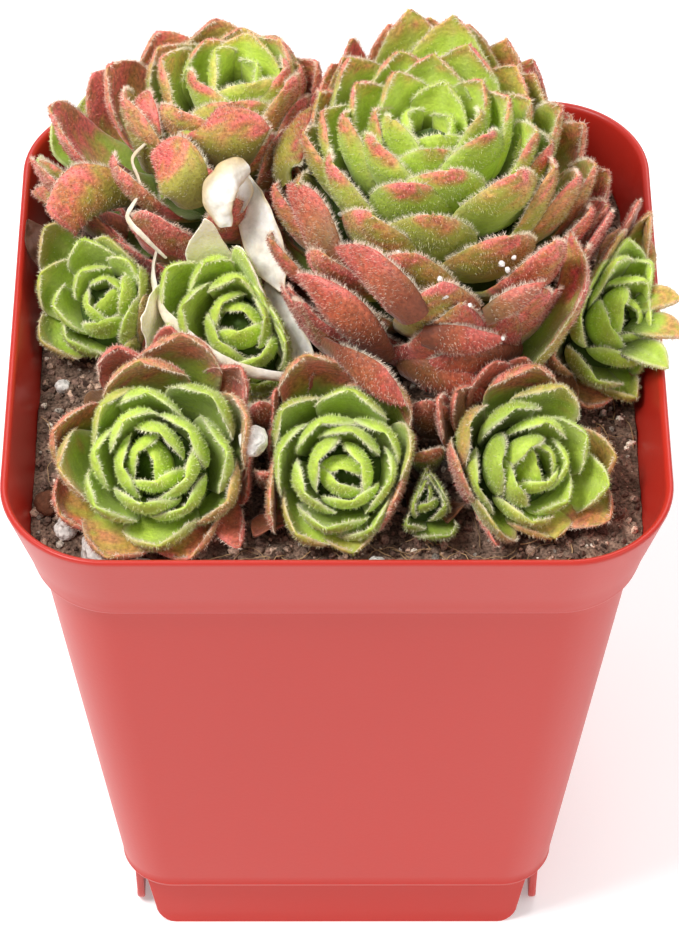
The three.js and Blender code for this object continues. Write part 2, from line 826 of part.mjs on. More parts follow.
function makeRosette(name, seed, pockets) {
  const plan = ROSETTES[name];
  const frame = frameOf(plan);
  const limits = limitsOf(name);
  const pieces = [];
  pieces.push(solidOf(coreGeometry(plan, limits)));
  pieces.push(solidOf(stemGeometry(plan, 0, plan.base[2] + STEM_HEAD)));
  for (let i = 0; i < plan.count; i += 1) {
    const leaf = solidOf(leafGeometry(leafRule(plan, i, seed), frame, limits));
    pieces.push(leaf);
  }
  let rosette = Manifold.union(pieces);
  for (const pocket of pockets) rosette = rosette.subtract(pocket);
  return wholeBody(rosette);
}

const COLOURS = {
  pot: 0xd8483a,
  soil: 0x3b2418,
  leaf: 0x8aa851,
  perlite: 0xe6e2da,
  bark: 0x54331f,
  dry: 0xe6dcc0,
};

const group = new THREE.Group();
group.name = 'potted_rosularia_platyphylla';

function addPiece(name, solid, colour, roughness) {
  const material = new THREE.MeshStandardMaterial({ color: colour, roughness, metalness: 0 });
  material.name = name;
  const mesh = new THREE.Mesh(geometryOf(solid), material);
  mesh.name = name;
  group.add(mesh);
}

const grains = {};
let grainSeed = 1;
for (const [name, numbers] of Object.entries(GRAINS)) {
  grains[name] = makeGrain(numbers, grainSeed);
  grainSeed += 1;
}

const loose = {};
for (const [name, shape] of Object.entries(DRY_LEAVES)) {
  loose[name] = { body: looseLeaf(shape, 0), pocket: looseLeaf(shape, CLEAR) };
}
// The curled leaf is tucked behind the strip.
const curl = loose.dry_leaf_curl;
curl.body = wholeBody(curl.body.subtract(loose.dry_leaf_strip.pocket));
const leafGrain = makeGrain(GRAIN_ON_LEAVES, grainSeed);
const pockets = Object.values(loose).map((piece) => piece.pocket);
pockets.push(leafGrain.pocket);

addPiece('pot', makePot(), COLOURS.pot, 0.45);
addPiece('soil', makeSoil(grains), COLOURS.soil, 1);
let rosetteSeed = 1;
for (const name of Object.keys(ROSETTES)) {
  addPiece(name, makeRosette(name, rosetteSeed, pockets), COLOURS.leaf, 0.6);
  rosetteSeed += 1;
}
for (const [name, grain] of Object.entries(grains)) {
  addPiece(name, grain.body, name === 'bark_clod' ? COLOURS.bark : COLOURS.perlite, 0.9);
}

addPiece('perlite_on_leaves', leafGrain.body, COLOURS.perlite, 0.9);
for (const [name, piece] of Object.entries(loose)) {
  addPiece(name, piece.body, name === 'dead_leaf' ? COLOURS.bark : COLOURS.dry, 0.8);
}

export default group;
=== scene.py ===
import math
import bmesh
import bpy
import numpy as np
from mathutils import Matrix, Vector


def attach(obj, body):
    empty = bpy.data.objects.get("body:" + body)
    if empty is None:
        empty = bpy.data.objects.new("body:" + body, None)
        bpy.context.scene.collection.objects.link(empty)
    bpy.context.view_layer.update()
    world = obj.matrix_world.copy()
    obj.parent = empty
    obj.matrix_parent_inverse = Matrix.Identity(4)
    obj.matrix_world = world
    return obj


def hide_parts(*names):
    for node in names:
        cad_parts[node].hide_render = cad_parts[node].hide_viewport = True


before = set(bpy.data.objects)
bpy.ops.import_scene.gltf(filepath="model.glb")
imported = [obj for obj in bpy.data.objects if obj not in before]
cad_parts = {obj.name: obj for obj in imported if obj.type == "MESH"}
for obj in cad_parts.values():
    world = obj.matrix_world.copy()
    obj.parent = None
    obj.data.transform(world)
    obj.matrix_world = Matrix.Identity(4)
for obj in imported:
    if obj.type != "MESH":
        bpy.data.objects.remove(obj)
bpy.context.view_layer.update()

MM = 0.001
DEG = math.pi / 180
TAU = 2 * math.pi

# Sizes in millimetres, the same as in part.mjs.
POT_HEIGHT, RIM_HALF, RIM_CORNER, LIP_ROUND, WALL = 98.0, 44.7, 14.6, 0.55, 1.1
BAND_HEIGHT, BAND_FOOT_HALF, BAND_FOOT_CORNER = 14.6, 40.8, 12.0
BODY_TOP_HALF, BODY_TOP_CORNER = 39.6, 9.5
FLOOR_HALF, FLOOR_CORNER, FLOOR_UNDER, FLOOR_THICK = 31.5, 7.5, 10.4, 1.4
SKIRT_HALF_TOP, SKIRT_HALF_LOW, SKIRT_LOW_HALF_GAP, SKIRT_ROUND = 28.1, 26.9, 30.1, 3.2
BAND_FOOT = POT_HEIGHT - BAND_HEIGHT
BAND_SLOPE = (RIM_HALF - BAND_FOOT_HALF) / BAND_HEIGHT
BAND_CORNER_SLOPE = (RIM_CORNER - BAND_FOOT_CORNER) / BAND_HEIGHT
BODY_SLOPE = (BODY_TOP_HALF - FLOOR_HALF) / (BAND_FOOT - FLOOR_UNDER)
BODY_CORNER_SLOPE = (BODY_TOP_CORNER - FLOOR_CORNER) / (BAND_FOOT - FLOOR_UNDER)
SOIL_EDGE, SOIL_MOUND, SOIL_ROUGH, CLEAR = 88.7, 1.3, 0.45, 0.3
GROUND = SOIL_EDGE + SOIL_MOUND + 0.6
DRAIN_RADIUS, DRAIN_OFFSET = 3.6, 19.0
PRESS_GAP, PRESS_REACH, WALL_REACH, GROUND_REACH, RIM_LIMIT = 0.17, 3.5, 1.6, 1.2, 44.2
NEIGHBOUR_SPAN, WALL_DIRECTIONS, HARD_PASSES = 9, 16, 8
GOLDEN, WIDEST, NECK, CORE_SHARE, CORE_SIDES = 137.508, 0.62, 0.4, 0.36, 16
GROWTH, SETTLING = 0.55, 0.9
TURN_VARIES, LENGTH_VARIES, WIDTH_VARIES, TIP_VARIES, ROLL_VARIES = 0.3, 0.18, 0.14, 13, 0.4

HABIT = dict(length=(0.36, 1.0), half=(0.18, 0.34), leanBase=(14, 88), leanTip=(-34, 2), ring=(0.05, 0.2),
             lift=(0.34, 0.02), cup=(1.25, 0.9), thick=(0.07, 0.09), roundness=0.5, sag=0, sagTip=0,
             longer=0.18, slim=0, front=270)
# What each rosette has of its own, then where it differs from the habit. Lean, ways and turns are in degrees.
COLUMNS = ("base", "tilt", "toward", "spin", "hand", "count", "size", "ball")
ROSETTES = {
    "rosette_main": (((12.6, 12.4, 93.8), 0.5, 300, 20, 1, 74, 26.5, ((12.9, 12, 107), 28.5)),
        dict(length=(0.3, 1.42), half=(0.15, 0.36), leanBase=(18, 96), leanTip=(-14, 12), ring=(0.05, 0.32),
             lift=(0.78, 0.01), cup=(1.1, 0.8), thick=(0.05, 0.07), roundness=0.6, sag=18, sagTip=-2,
             longer=-0.1, front=280, slim=0.42)),
    "rosette_second": (((-13.4, 26.2, 92.8), 2, 90, 22, 1, 43, 23.2, ((-16, 27, 106), 24)),
        dict(length=(0.3, 1.14), half=(0.18, 0.42), leanBase=(18, 95), leanTip=(-14, 8), ring=(0.05, 0.26),
             lift=(0.82, 0.02), cup=(1.0, 0.7), thick=(0.055, 0.075), roundness=0.42, sag=26, sagTip=16,
             longer=-0.4, front=225)),
    "rosette_front_left": (((-23.3, -20.6, 90.7), 40, 262, 10, 1, 26, 19, ((-24, -25, 98), 17)),
        dict(longer=0.08)),
    "rosette_front_middle": (((1.3, -22.0, 90.7), 42, 266, 100, 1, 22, 17.2, ((1.2, -25, 97), 15)),
        dict(longer=0.12, slim=-0.12, half=(0.2, 0.37))),
    "rosette_front_right": (((22.8, -21.5, 90.7), 42, 300, 200, -1, 22, 16.4, ((22.5, -24, 98), 14.5)),
        dict(longer=0.1, front=320)),
    "rosette_centre": (((-12.2, 3.6, 91.2), 36, 262, 52, -1, 23, 19, ((-14, 0, 99), 14.5)), dict(longer=0.2)),
    "rosette_left": (((-29.3, 7.5, 90.7), 30, 240, 300, 1, 18, 15.2, ((-33, 6, 97), 12.5)), dict(longer=0.1)),
    "rosette_right": (((35.5, 5.0, 91.0), 40, 305, 30, 1, 21, 18, ((37, 0, 99), 17.5)),
        dict(half=(0.2, 0.34), leanTip=(-32, 10), longer=0.1, front=290)),
    "rosette_bud": (((11.2, -26.6, 90.6), 30, 272, 0, 1, 12, 10, ((11.6, -29.5, 94), 11.5)),
        dict(half=(0.24, 0.44), longer=0)),
    "rosette_back_left": (((-31.0, 34.0, 90.7), 14, 150, 60, 1, 13, 15, ((-36, 37, 98), 13.5)),
        dict(leanTip=(-20, 10), longer=-0.1)),
}
ROSETTES = {name: dict(HABIT, **dict(zip(COLUMNS, row)), **more) for name, (row, more) in ROSETTES.items()}
GRAINS = {
    "perlite_corner": (-36.0, -31.0, 1.2, 2.0, 1.6, 1.5),
    "perlite_front_left": (-31.9, -35.2, 1.0, 3.6, 1.9, 1.6),
    "perlite_front": (-25.9, -38.0, 0.8, 2.0, 1.5, 1.3),
    "perlite_middle": (4.7, -38.0, 0.7, 2.3, 1.4, 1.3),
    "perlite_back": (36.2, 35.4, 0.6, 1.5, 1.3, 1.2),
    "perlite_left": (-37.8, -4.5, 0.6, 1.1, 1.0, 1.0),
    "bark_clod": (-38.6, -26.4, 0.9, 2.0, 2.0, 1.5),
    "perlite_on_leaves": (-11.5, -22.2, 8.6, 2.2, 1.9, 2.1),
}
DRY_LEAVES = {
    "dry_leaf_strip": dict(root=(-7.3, 0.0, 103.5), tip=(-12.8, 14.5, 113.0), face=(-0.45, -0.55, 0.7),
         half=2.3, thick=0.8, bow=1.2),
    "dry_leaf_curl": dict(root=(-13.0, 7.3, 111.2), tip=(-17.0, 11.0, 115.2), face=(-0.2, -0.75, 0.6),
         half=2.9, thick=0.8, bow=-1.0),
    "dry_leaf_long": dict(root=(-3.2, -8.4, 93.6), tip=(-9.6, 3.2, 102.2), face=(-0.3, -0.6, 0.74), half=2.0,
         thick=0.8, bow=0.9),
    "dead_leaf": dict(root=(-38.8, 13.0, 94.0), tip=(-43.2, 18.2, 99.4), face=(-0.2, -0.5, 0.85), half=2.2,
         thick=0.9, bow=0.8),
}


# Small helpers.
def lin(r, g, b):
    c = np.array([r, g, b]) / 255.0
    return np.where(c <= 0.04045, c / 12.92, ((c + 0.055) / 1.055) ** 2.4)


def lerp(pair, share):
    return pair[0] + (pair[1] - pair[0]) * share


def step(x, a, b):
    t = np.clip((x - a) / (b - a), 0, 1)
    return t * t * (3 - 2 * t)


def mix(a, b, share):
    return a * (1 - share) + b * share


def unit(v):
    return v / np.maximum(np.linalg.norm(v, axis=-1, keepdims=True), 1e-9)


def normals_of(grid):
    return unit(np.cross(np.gradient(grid, axis=0), np.gradient(grid, axis=1)))


def across_and_up(face, along):
    """The other two ways of a leaf that runs along one way and looks at another."""
    across = unit(np.cross(face, along))
    return across, np.cross(along, across)


def turned(angle):
    """A turn about the upright axis."""
    c, s = math.cos(angle), math.sin(angle)
    return np.array([[c, -s, 0], [s, c, 0], [0, 0, 1]])


def draw(seed, index):
    x = math.sin(seed * 12.9898 + index * 78.233) * 43758.5453
    return x - math.floor(x)


def noise(points, scale, seed):
    """Smooth value noise in three dimensions, between -1 and 1."""
    p = np.asarray(points) * scale + seed * 17.31
    base = np.floor(p).astype(np.int64)
    f = p - base
    f = f * f * (3 - 2 * f)
    total = np.zeros(p.shape[:-1])
    for dx in (0, 1):
        for dy in (0, 1):
            for dz in (0, 1):
                n = (base[..., 0] + dx) * 374761393 + (base[..., 1] + dy) * 668265263
                n = (n + (base[..., 2] + dz) * 2147483647 + seed * 974711) & 0x7FFFFFFF
                n = ((n ^ (n >> 13)) * 1274126177) & 0x7FFFFFFF
                h = ((n ^ (n >> 16)) & 0xFFFF) / 32767.5 - 1
                wx = f[..., 0] if dx else 1 - f[..., 0]
                wy = f[..., 1] if dy else 1 - f[..., 1]
                wz = f[..., 2] if dz else 1 - f[..., 2]
                total += h * wx * wy * wz
    return total


def mesh_piece(name, points, faces, material, smooth=True, colours=None):
    """points in millimetres; faces an (n, 3) or (n, 4) array of indices."""
    points = np.asarray(points, float) * MM
    faces = np.asarray(faces, dtype=np.int32)
    mesh = bpy.data.meshes.new(name)
    sides = faces.shape[1]
    mesh.vertices.add(len(points))
    mesh.vertices.foreach_set("co", points.astype(np.float32).ravel())
    mesh.loops.add(faces.size)
    mesh.loops.foreach_set("vertex_index", faces.ravel())
    mesh.polygons.add(len(faces))
    mesh.polygons.foreach_set("loop_start", np.arange(0, faces.size, sides, dtype=np.int32))
    mesh.polygons.foreach_set("use_smooth", np.full(len(faces), smooth))
    mesh.update(calc_edges=True)
    mesh.validate()
    mesh.materials.append(material)
    if colours is not None:
        layer = mesh.color_attributes.new("tint", "FLOAT_COLOR", "POINT")
        rgba = np.concatenate([colours, np.ones((len(colours), 1))], 1)
        layer.data.foreach_set("color", rgba.astype(np.float32).ravel())
    piece = bpy.data.objects.new(name, mesh)
    bpy.context.scene.collection.objects.link(piece)
    return piece


class Pile:
    """Meshes put together into one."""

    def __init__(self):
        self.points, self.faces, self.colours, self.count = [], [], [], 0

    def add(self, points, faces, colours):
        self.points.append(points)
        self.faces.append(faces + self.count)
        self.colours.append(colours)
        self.count += len(points)

    def piece(self, name, material, smooth=True):
        return mesh_piece(name, np.concatenate(self.points), np.concatenate(self.faces), material, smooth,
                          np.concatenate(self.colours))


def smooth_path(path, share):
    """Points at these shares along a smooth curve through the given points."""
    path = np.asarray(path, float)
    wide = np.concatenate([2 * path[:1] - path[1:2], path, 2 * path[-1:] - path[-2:-1]])
    x = np.clip(share, 0, 1) * (len(path) - 1)
    k = np.minimum(x.astype(int), len(path) - 2)
    f = (x - k)[..., None]
    a, b, c, d = (wide[k + j] for j in range(4))
    curve = 2 * b + (c - a) * f + (2 * a - 5 * b + 4 * c - d) * f ** 2 + (3 * b - a - 3 * c + d) * f ** 3
    return 0.5 * curve


def sheet_grid(rows, cols, first=0.0):
    """Shares along and across a sheet, those across closer together toward its side edges."""
    s = np.linspace(first, 1, rows)
    t = np.sin(np.linspace(-np.pi / 2, np.pi / 2, cols))
    return np.meshgrid(s, t, indexing="ij")


# Materials. A noise mostly lies in the first range, and red less green of a leaf's colour in the second.
NOISE_RANGE, RED_RANGE, NOISE_ROUGH = (0.3, 0.7), (0.0, 0.25), 0.55


def new_material(name):
    m = bpy.data.materials.new(name)
    m.use_nodes = True
    nt = m.node_tree
    return m, nt, nt.nodes["Principled BSDF"]


def node(nt, kind, **values):
    n = nt.nodes.new(kind)
    for key, value in values.items():
        n.inputs[key].default_value = value
    return n


def noise_node(nt, scale, detail):
    coord = nt.nodes.new("ShaderNodeTexCoord")
    n = node(nt, "ShaderNodeTexNoise", Scale=scale, Detail=detail, Roughness=NOISE_ROUGH)
    nt.links.new(coord.outputs["Object"], n.inputs["Vector"])
    return n


def bump(nt, bsdf, source, strength, distance):
    b = node(nt, "ShaderNodeBump", Strength=strength, Distance=distance)
    nt.links.new(source, b.inputs["Height"])
    nt.links.new(b.outputs["Normal"], bsdf.inputs["Normal"])


def map_range(nt, value_out, source, target):
    """Maps the source pair of values to the target pair."""
    ends = zip(("From Min", "From Max", "To Min", "To Max"), source + target)
    ramp = node(nt, "ShaderNodeMapRange", **dict(ends))
    nt.links.new(value_out, ramp.inputs["Value"])
    return ramp.outputs["Result"]


def times(nt, colour_out, factor_out):
    mul = nt.nodes.new("ShaderNodeVectorMath")
    mul.operation = "SCALE"
    nt.links.new(colour_out, mul.inputs[0])
    nt.links.new(factor_out, mul.inputs["Scale"])
    return mul.outputs["Vector"]


def scaled(nt, colour_out, factor_out, spread):
    """Multiplies a colour by a noise, spread over a pair of factors."""
    return times(nt, colour_out, map_range(nt, factor_out, NOISE_RANGE, spread))


def math_node(nt, operation, first, second):
    n = nt.nodes.new("ShaderNodeMath")
    n.operation = operation
    for slot, value in enumerate((first, second)):
        if isinstance(value, (int, float)):
            n.inputs[slot].default_value = value
        else:
            nt.links.new(value, n.inputs[slot])
    return n.outputs["Value"]


def stippled(nt, colour_out, factor_out, spread):
    """Multiplies a colour by fine dots that are strong where it is red and weak where it is green."""
    parts = nt.nodes.new("ShaderNodeSeparateColor")
    nt.links.new(colour_out, parts.inputs["Color"])
    redder = math_node(nt, "SUBTRACT", parts.outputs["Red"], parts.outputs["Green"])
    strength = map_range(nt, redder, RED_RANGE, spread)
    dots = math_node(nt, "MULTIPLY", math_node(nt, "SUBTRACT", factor_out, 0.5), strength)
    return times(nt, colour_out, math_node(nt, "ADD", dots, 1.0))


def see_into(bsdf, weight, radius, scale):
    bsdf.inputs["Subsurface Weight"].default_value = weight
    bsdf.inputs["Subsurface Radius"].default_value = radius
    bsdf.inputs["Subsurface Scale"].default_value = scale


def tint_material(name, rough, fine_scale, spread, relief, specular, inside=None, sheen=0.0, paint=scaled):
    """A material in the mesh's own tint, varied by a fine noise that also gives the relief."""
    m, nt, b = new_material(name)
    tint = nt.nodes.new("ShaderNodeAttribute")
    tint.attribute_name = "tint"
    fine = noise_node(nt, fine_scale, 4.0)
    nt.links.new(paint(nt, tint.outputs["Color"], fine.outputs["Fac"], spread), b.inputs["Base Color"])
    b.inputs["Roughness"].default_value = rough
    b.inputs["Specular IOR Level"].default_value = specular
    if inside:
        see_into(b, *inside)
    if sheen:
        b.inputs["Sheen Weight"].default_value = sheen
        b.inputs["Sheen Roughness"].default_value = 0.4
        b.inputs["Sheen Tint"].default_value = (1.0, 0.9, 0.85, 1)
    bump(nt, b, fine.outputs["Fac"], *relief)
    return m


def clouded_material(name, colour, cloud_scale, spread, rough, specular):
    """A material in one colour with faint wide clouds in it."""
    m, nt, b = new_material(name)
    clouds = noise_node(nt, cloud_scale, 2.0)
    base = node(nt, "ShaderNodeRGB")
    base.outputs[0].default_value = (*colour, 1)
    nt.links.new(scaled(nt, base.outputs[0], clouds.outputs["Fac"], spread), b.inputs["Base Color"])
    b.inputs["Roughness"].default_value = rough
    b.inputs["Specular IOR Level"].default_value = specular
    return m, nt, b


LEAF = tint_material("leaf", rough=0.5, fine_scale=1900, spread=(0.45, 1.8), relief=(0.5, 0.0004),
                     specular=0.35, inside=(0.2, (0.9, 1.0, 0.35), 0.001), sheen=0.3, paint=stippled)
HAIR = tint_material("leaf_hair", rough=0.6, fine_scale=900, spread=(0.9, 1.1), relief=(0.0, 0.0001),
                     specular=0.2)
DRY = tint_material("dry_leaf", rough=0.65, fine_scale=700, spread=(0.8, 1.15), relief=(0.6, 0.0004),
                    specular=0.3, inside=(0.15, (1.0, 0.8, 0.5), 0.0008), sheen=0.1)
GRAIN = tint_material("grain", rough=0.9, fine_scale=1500, spread=(0.75, 1.2), relief=(0.9, 0.0005),
                      specular=0.2)
EARTH = tint_material("earth", rough=0.95, fine_scale=2400, spread=(0.35, 1.75), relief=(1.0, 0.0006),
                      specular=0.15)


def plastic():
    m, nt, b = clouded_material("pot_plastic", lin(188, 44, 32), 12, (0.96, 1.04), 0.36, 0.42)
    see_into(b, weight=0.1, radius=(1.0, 0.25, 0.15), scale=0.002)
    bump(nt, b, noise_node(nt, 1600, 3.0).outputs["Fac"], strength=0.06, distance=0.0002)
    return m


# The pot. A pair is the rise of a ring above its level and its inset, or in a skirt its depth and inset.
CORNER_STEPS, FOOT_STEPS, FILLET_STEPS, LIP_STEPS, SKIRT_STEPS, DRAIN_SIDES, SHARP = 20, 4, 6, 12, 6, 40, 40
FOOT_ROUND, FILLET_ROUND, LIP_FLATTER, DRILL_PAST = 0.8, 0.8, 1.3, 2.0
FOOT_BEAD = ((1.1, -0.12), (1.5, 0.05), (3.0, 0.0))
BAND_GROOVE = ((-1.0, 0.0), (-0.35, -0.05), (0.0, -0.25))
BAND_BEAD = ((1.5, -0.1), (2.2, 0.0))
BAND_DROPS, LIP_DROPS, WALL_LEVELS = (10, 6, 3, 1.6), (1.6, 4, 9, 13), (60, 40, 20)
SKIRT_SWEEP, SKIRT_EASE = 2.6, 0.1
SKIRT_RINGS = ((0, 0.25), (0.12, 0.06), (0.3, 0.0), (WALL - 0.3, 0.0), (WALL - 0.12, 0.06), (WALL, 0.25))


def square_ring(half, corner, level):
    ring = []
    for quarter in range(4):
        sx = 1 if quarter in (0, 3) else -1
        sy = 1 if quarter < 2 else -1
        for k in range(CORNER_STEPS):
            a = (quarter + k / (CORNER_STEPS - 1)) * TAU / 4
            x = sx * (half - corner) + corner * math.cos(a)
            y = sy * (half - corner) + corner * math.sin(a)
            ring.append((x, y, level))
    return np.array(ring)


def outer_ring(level, inset):
    """A ring around the pot at a level, inset from the taper of its band or body."""
    if level > BAND_FOOT:
        drop = POT_HEIGHT - level
        half, corner = RIM_HALF - drop * BAND_SLOPE, RIM_CORNER - drop * BAND_CORNER_SLOPE
    else:
        rise = level - FLOOR_UNDER
        half, corner = FLOOR_HALF + rise * BODY_SLOPE, FLOOR_CORNER + rise * BODY_CORNER_SLOPE
    return square_ring(half - inset, corner - inset, level)


def rings_at(level, pairs):
    return [outer_ring(level + rise, inset) for rise, inset in pairs]


def skin(rings):
    """A closed surface over rings of as many points each, with a fan over each end, as quads."""
    n, last = len(rings[0]), (len(rings) - 1) * len(rings[0])
    points = [np.concatenate(rings)]
    i = np.arange(n)
    faces = []
    for k in range(len(rings) - 1):
        a, b = k * n + i, k * n + (i + 1) % n
        faces.append(np.stack([a, b, b + n, a + n], 1))
    for count, first in enumerate((0, last)):
        centre = np.full(n, last + n + count)
        a, b = first + i, first + (i + 1) % n
        points.append(points[0][first:first + n].mean(0)[None])
        faces.append(np.stack([a, b, centre, centre] if first else [b, a, centre, centre], 1))
    return np.concatenate(points), np.concatenate(faces)


def quads_and_tris(faces):
    """Splits quads into triangles, dropping the empty ones."""
    tri = np.concatenate([faces[:, [0, 1, 2]], faces[:, [0, 2, 3]]])
    keep = (tri[:, 0] != tri[:, 1]) & (tri[:, 1] != tri[:, 2]) & (tri[:, 0] != tri[:, 2])
    return tri[keep]


def drilled(points, faces, material):
    """The pot's body with four drain holes cut through its floor."""
    body = mesh_piece("pot_body", points, faces, material)
    drill = Pile()
    a = np.arange(DRAIN_SIDES) / DRAIN_SIDES * TAU
    for sx in (-1, 1):
        for sy in (-1, 1):
            x = sx * DRAIN_OFFSET + DRAIN_RADIUS * np.cos(a)
            y = sy * DRAIN_OFFSET + DRAIN_RADIUS * np.sin(a)
            levels = (FLOOR_UNDER - DRILL_PAST, FLOOR_UNDER + FLOOR_THICK + DRILL_PAST)
            p, f = skin([np.stack([x, y, np.full(DRAIN_SIDES, level)], 1) for level in levels])
            drill.add(p, quads_and_tris(f), np.ones((len(p), 3)))
    drill = drill.piece("drill", material)
    cut = body.modifiers.new("drain_holes", "BOOLEAN")
    cut.operation, cut.solver, cut.object = "DIFFERENCE", "EXACT", drill
    shape = body.evaluated_get(bpy.context.evaluated_depsgraph_get()).data
    shape.calc_loop_triangles()
    points = np.array([v.co[:] for v in shape.vertices]) / MM
    faces = np.array([t.vertices[:] for t in shape.loop_triangles])
    for spare in (body, drill):
        mesh = spare.data
        bpy.data.objects.remove(spare)
        bpy.data.meshes.remove(mesh)
    return points, faces


def make_pot(material):
    floor = FLOOR_UNDER + FLOOR_THICK
    rings = [square_ring(FLOOR_HALF - 1.4, FLOOR_CORNER - 1.0, FLOOR_UNDER)]
    for k in range(1, FOOT_STEPS + 1):
        a = k / FOOT_STEPS * TAU / 4
        rise, out = 1 - math.cos(a), math.sin(a)
        half, corner = FLOOR_HALF - 0.8 + 0.9 * out, FLOOR_CORNER - 0.7 + 0.8 * out
        rings.append(square_ring(half, corner, FLOOR_UNDER + FOOT_ROUND * rise))
    rings += rings_at(FLOOR_UNDER, FOOT_BEAD)
    rings += [outer_ring(level, 0) for level in np.linspace(20, BAND_FOOT - 2.4, 8)]
    rings += rings_at(BAND_FOOT, BAND_GROOVE)
    rings.append(square_ring(BODY_TOP_HALF + 0.25 + 0.35, BODY_TOP_CORNER + 0.65, BAND_FOOT + 0.02))
    for k in range(FILLET_STEPS + 1):
        a = k / FILLET_STEPS * TAU / 4
        half, corner = BAND_FOOT_HALF - 0.55 + 0.85 * math.sin(a), BAND_FOOT_CORNER - 1.8 + 1.95 * math.sin(a)
        rings.append(square_ring(half, corner, BAND_FOOT + 0.1 + FILLET_ROUND * (1 - math.cos(a))))
    rings += rings_at(BAND_FOOT, BAND_BEAD)
    rings += [outer_ring(POT_HEIGHT - drop, 0) for drop in BAND_DROPS]
    for k in range(LIP_STEPS + 1):
        a = k / LIP_STEPS * TAU / 2
        drop = LIP_ROUND * LIP_FLATTER * (1 - math.sin(a))
        rings.append(outer_ring(POT_HEIGHT - drop, WALL / 2 - WALL / 2 * math.cos(a)))
    levels = [POT_HEIGHT - drop for drop in LIP_DROPS] + [BAND_FOOT - 1.2, *WALL_LEVELS, floor]
    rings += [outer_ring(level, WALL) for level in levels]
    points, faces = skin(rings)
    points, faces = drilled(points, quads_and_tris(faces), material)
    tris, sets = [faces], [points]
    count = len(points)
    for side in range(4):
        p, f = skirt()
        sets.append(p @ turned(side * TAU / 4).T)
        tris.append(f + count)
        count += len(p)
    pot = mesh_piece("pot_shell", np.concatenate(sets), np.concatenate(tris), material)
    edge_split(pot)
    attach(pot, "root")
    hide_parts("pot")


def edge_split(piece):
    """Marks sharp edges, so that smooth shading stops there."""
    bm = bmesh.new()
    bm.from_mesh(piece.data)
    for e in bm.edges:
        if len(e.link_faces) == 2 and e.calc_face_angle(0) > SHARP * DEG:
            e.smooth = False
    bm.to_mesh(piece.data)
    bm.free()


def skirt():
    """One foot skirt on the -y side, its outer face following the taper, its edges softened."""
    top = FLOOR_UNDER + 0.6
    outline = [(-SKIRT_HALF_TOP, top), (-SKIRT_HALF_LOW - SKIRT_EASE, SKIRT_ROUND)]
    for k in range(1, SKIRT_STEPS + 1):
        a = k / SKIRT_STEPS * TAU / 4
        x = -SKIRT_HALF_LOW + SKIRT_SWEEP * (1 - math.cos(a)) - SKIRT_EASE * (1 - k / SKIRT_STEPS)
        outline.append((x, SKIRT_ROUND * (1 - math.sin(a))))
    outline = np.array(outline + [(-x, z) for x, z in reversed(outline)])
    centre = outline.mean(0)
    slope = (FLOOR_HALF - 0.4 - SKIRT_LOW_HALF_GAP) / top
    rings = []
    for depth, inset in SKIRT_RINGS:
        flat = outline.copy()
        below = flat[:, 1] < top - 0.01
        flat[below] += unit(centre - flat)[below] * inset
        flat[:, 1] = np.maximum(flat[:, 1], 0.0)
        past = np.clip(np.abs(flat[:, 0]) - (FLOOR_HALF - FLOOR_CORNER), 0, FLOOR_CORNER)
        curve = FLOOR_CORNER - np.sqrt(FLOOR_CORNER ** 2 - past ** 2)
        y = -SKIRT_LOW_HALF_GAP + depth - slope * flat[:, 1] + curve
        rings.append(np.stack([flat[:, 0], y, flat[:, 1]], 1))
    points, faces = skin(rings)
    return points, quads_and_tris(faces)[:, ::-1]


# Soil, crumbs, roots, grains.
SOIL_INSET, SOIL_EASE, SOIL_HALF, SOIL_CORNER = WALL + 0.12, 0.6, RIM_HALF - WALL - 9 * BAND_SLOPE, 11
SIDE_PARTS, CORNER_PARTS, SOIL_SHARES = 40, 4, (1.0, 0.995, *np.linspace(0.98, 0.02, 96))
CRUMB_LEAST, CRUMB_MORE, CRUMB_POWER, CRUMB_STRETCH, CRUMB_SHADES = 0.18, 0.62, 2.4, (0.6, 1.3), (0.25, 1.65)
CRUMBS, CRUMB_SPAN, CRUMB_SEED, CRUMB_MARGIN = 7200, 41, 21, 0.8
ROOT_SEED, ROOT_STEP, ROOT_SIDES, ROOT_MARGIN, ROOT_LEAST = 33, 0.75, 4, 0.6, 4
# Where root fibres lie: the middle, the half widths and how many.
ROOT_AREAS = (((36, -6), 4.5, 11, 26), ((37, 26), 3.0, 12, 14), ((0, -37), 14, 2.2, 26),
              ((22, -36), 10, 3, 14), ((-38, -18), 3, 10, 8), ((30, 38), 8, 2, 6))


def soil_top(x, y):
    edge = np.maximum(np.abs(x), np.abs(y)) / BAND_FOOT_HALF
    mound = SOIL_MOUND * (1 - np.minimum(1, edge) ** 2)
    lumps = np.sin(x * 0.61 + 1.3) * np.cos(y * 0.53 - 0.4) + np.sin(x * 0.23 - y * 0.37)
    return SOIL_EDGE + mound + SOIL_ROUGH * lumps / 2


def soil_height(x, y):
    p = np.stack([x, y, np.zeros_like(x)], -1)
    rough = 0.42 * noise(p, 0.45, 3) + 0.3 * noise(p, 1.1, 4) + 0.22 * noise(p, 2.3, 5)
    return soil_top(x, y) + rough - 0.15


def dense_ring(level, inset):
    """A ring of the pot's outline with more points, most of them along the straight sides."""
    ring = outer_ring(level, inset)
    dense = []
    for k in range(len(ring)):
        a, b = ring[k], ring[(k + 1) % len(ring)]
        parts = SIDE_PARTS if k % CORNER_STEPS == CORNER_STEPS - 1 else CORNER_PARTS
        dense.extend(a + (b - a) * j / parts for j in range(parts))
    return np.array(dense)


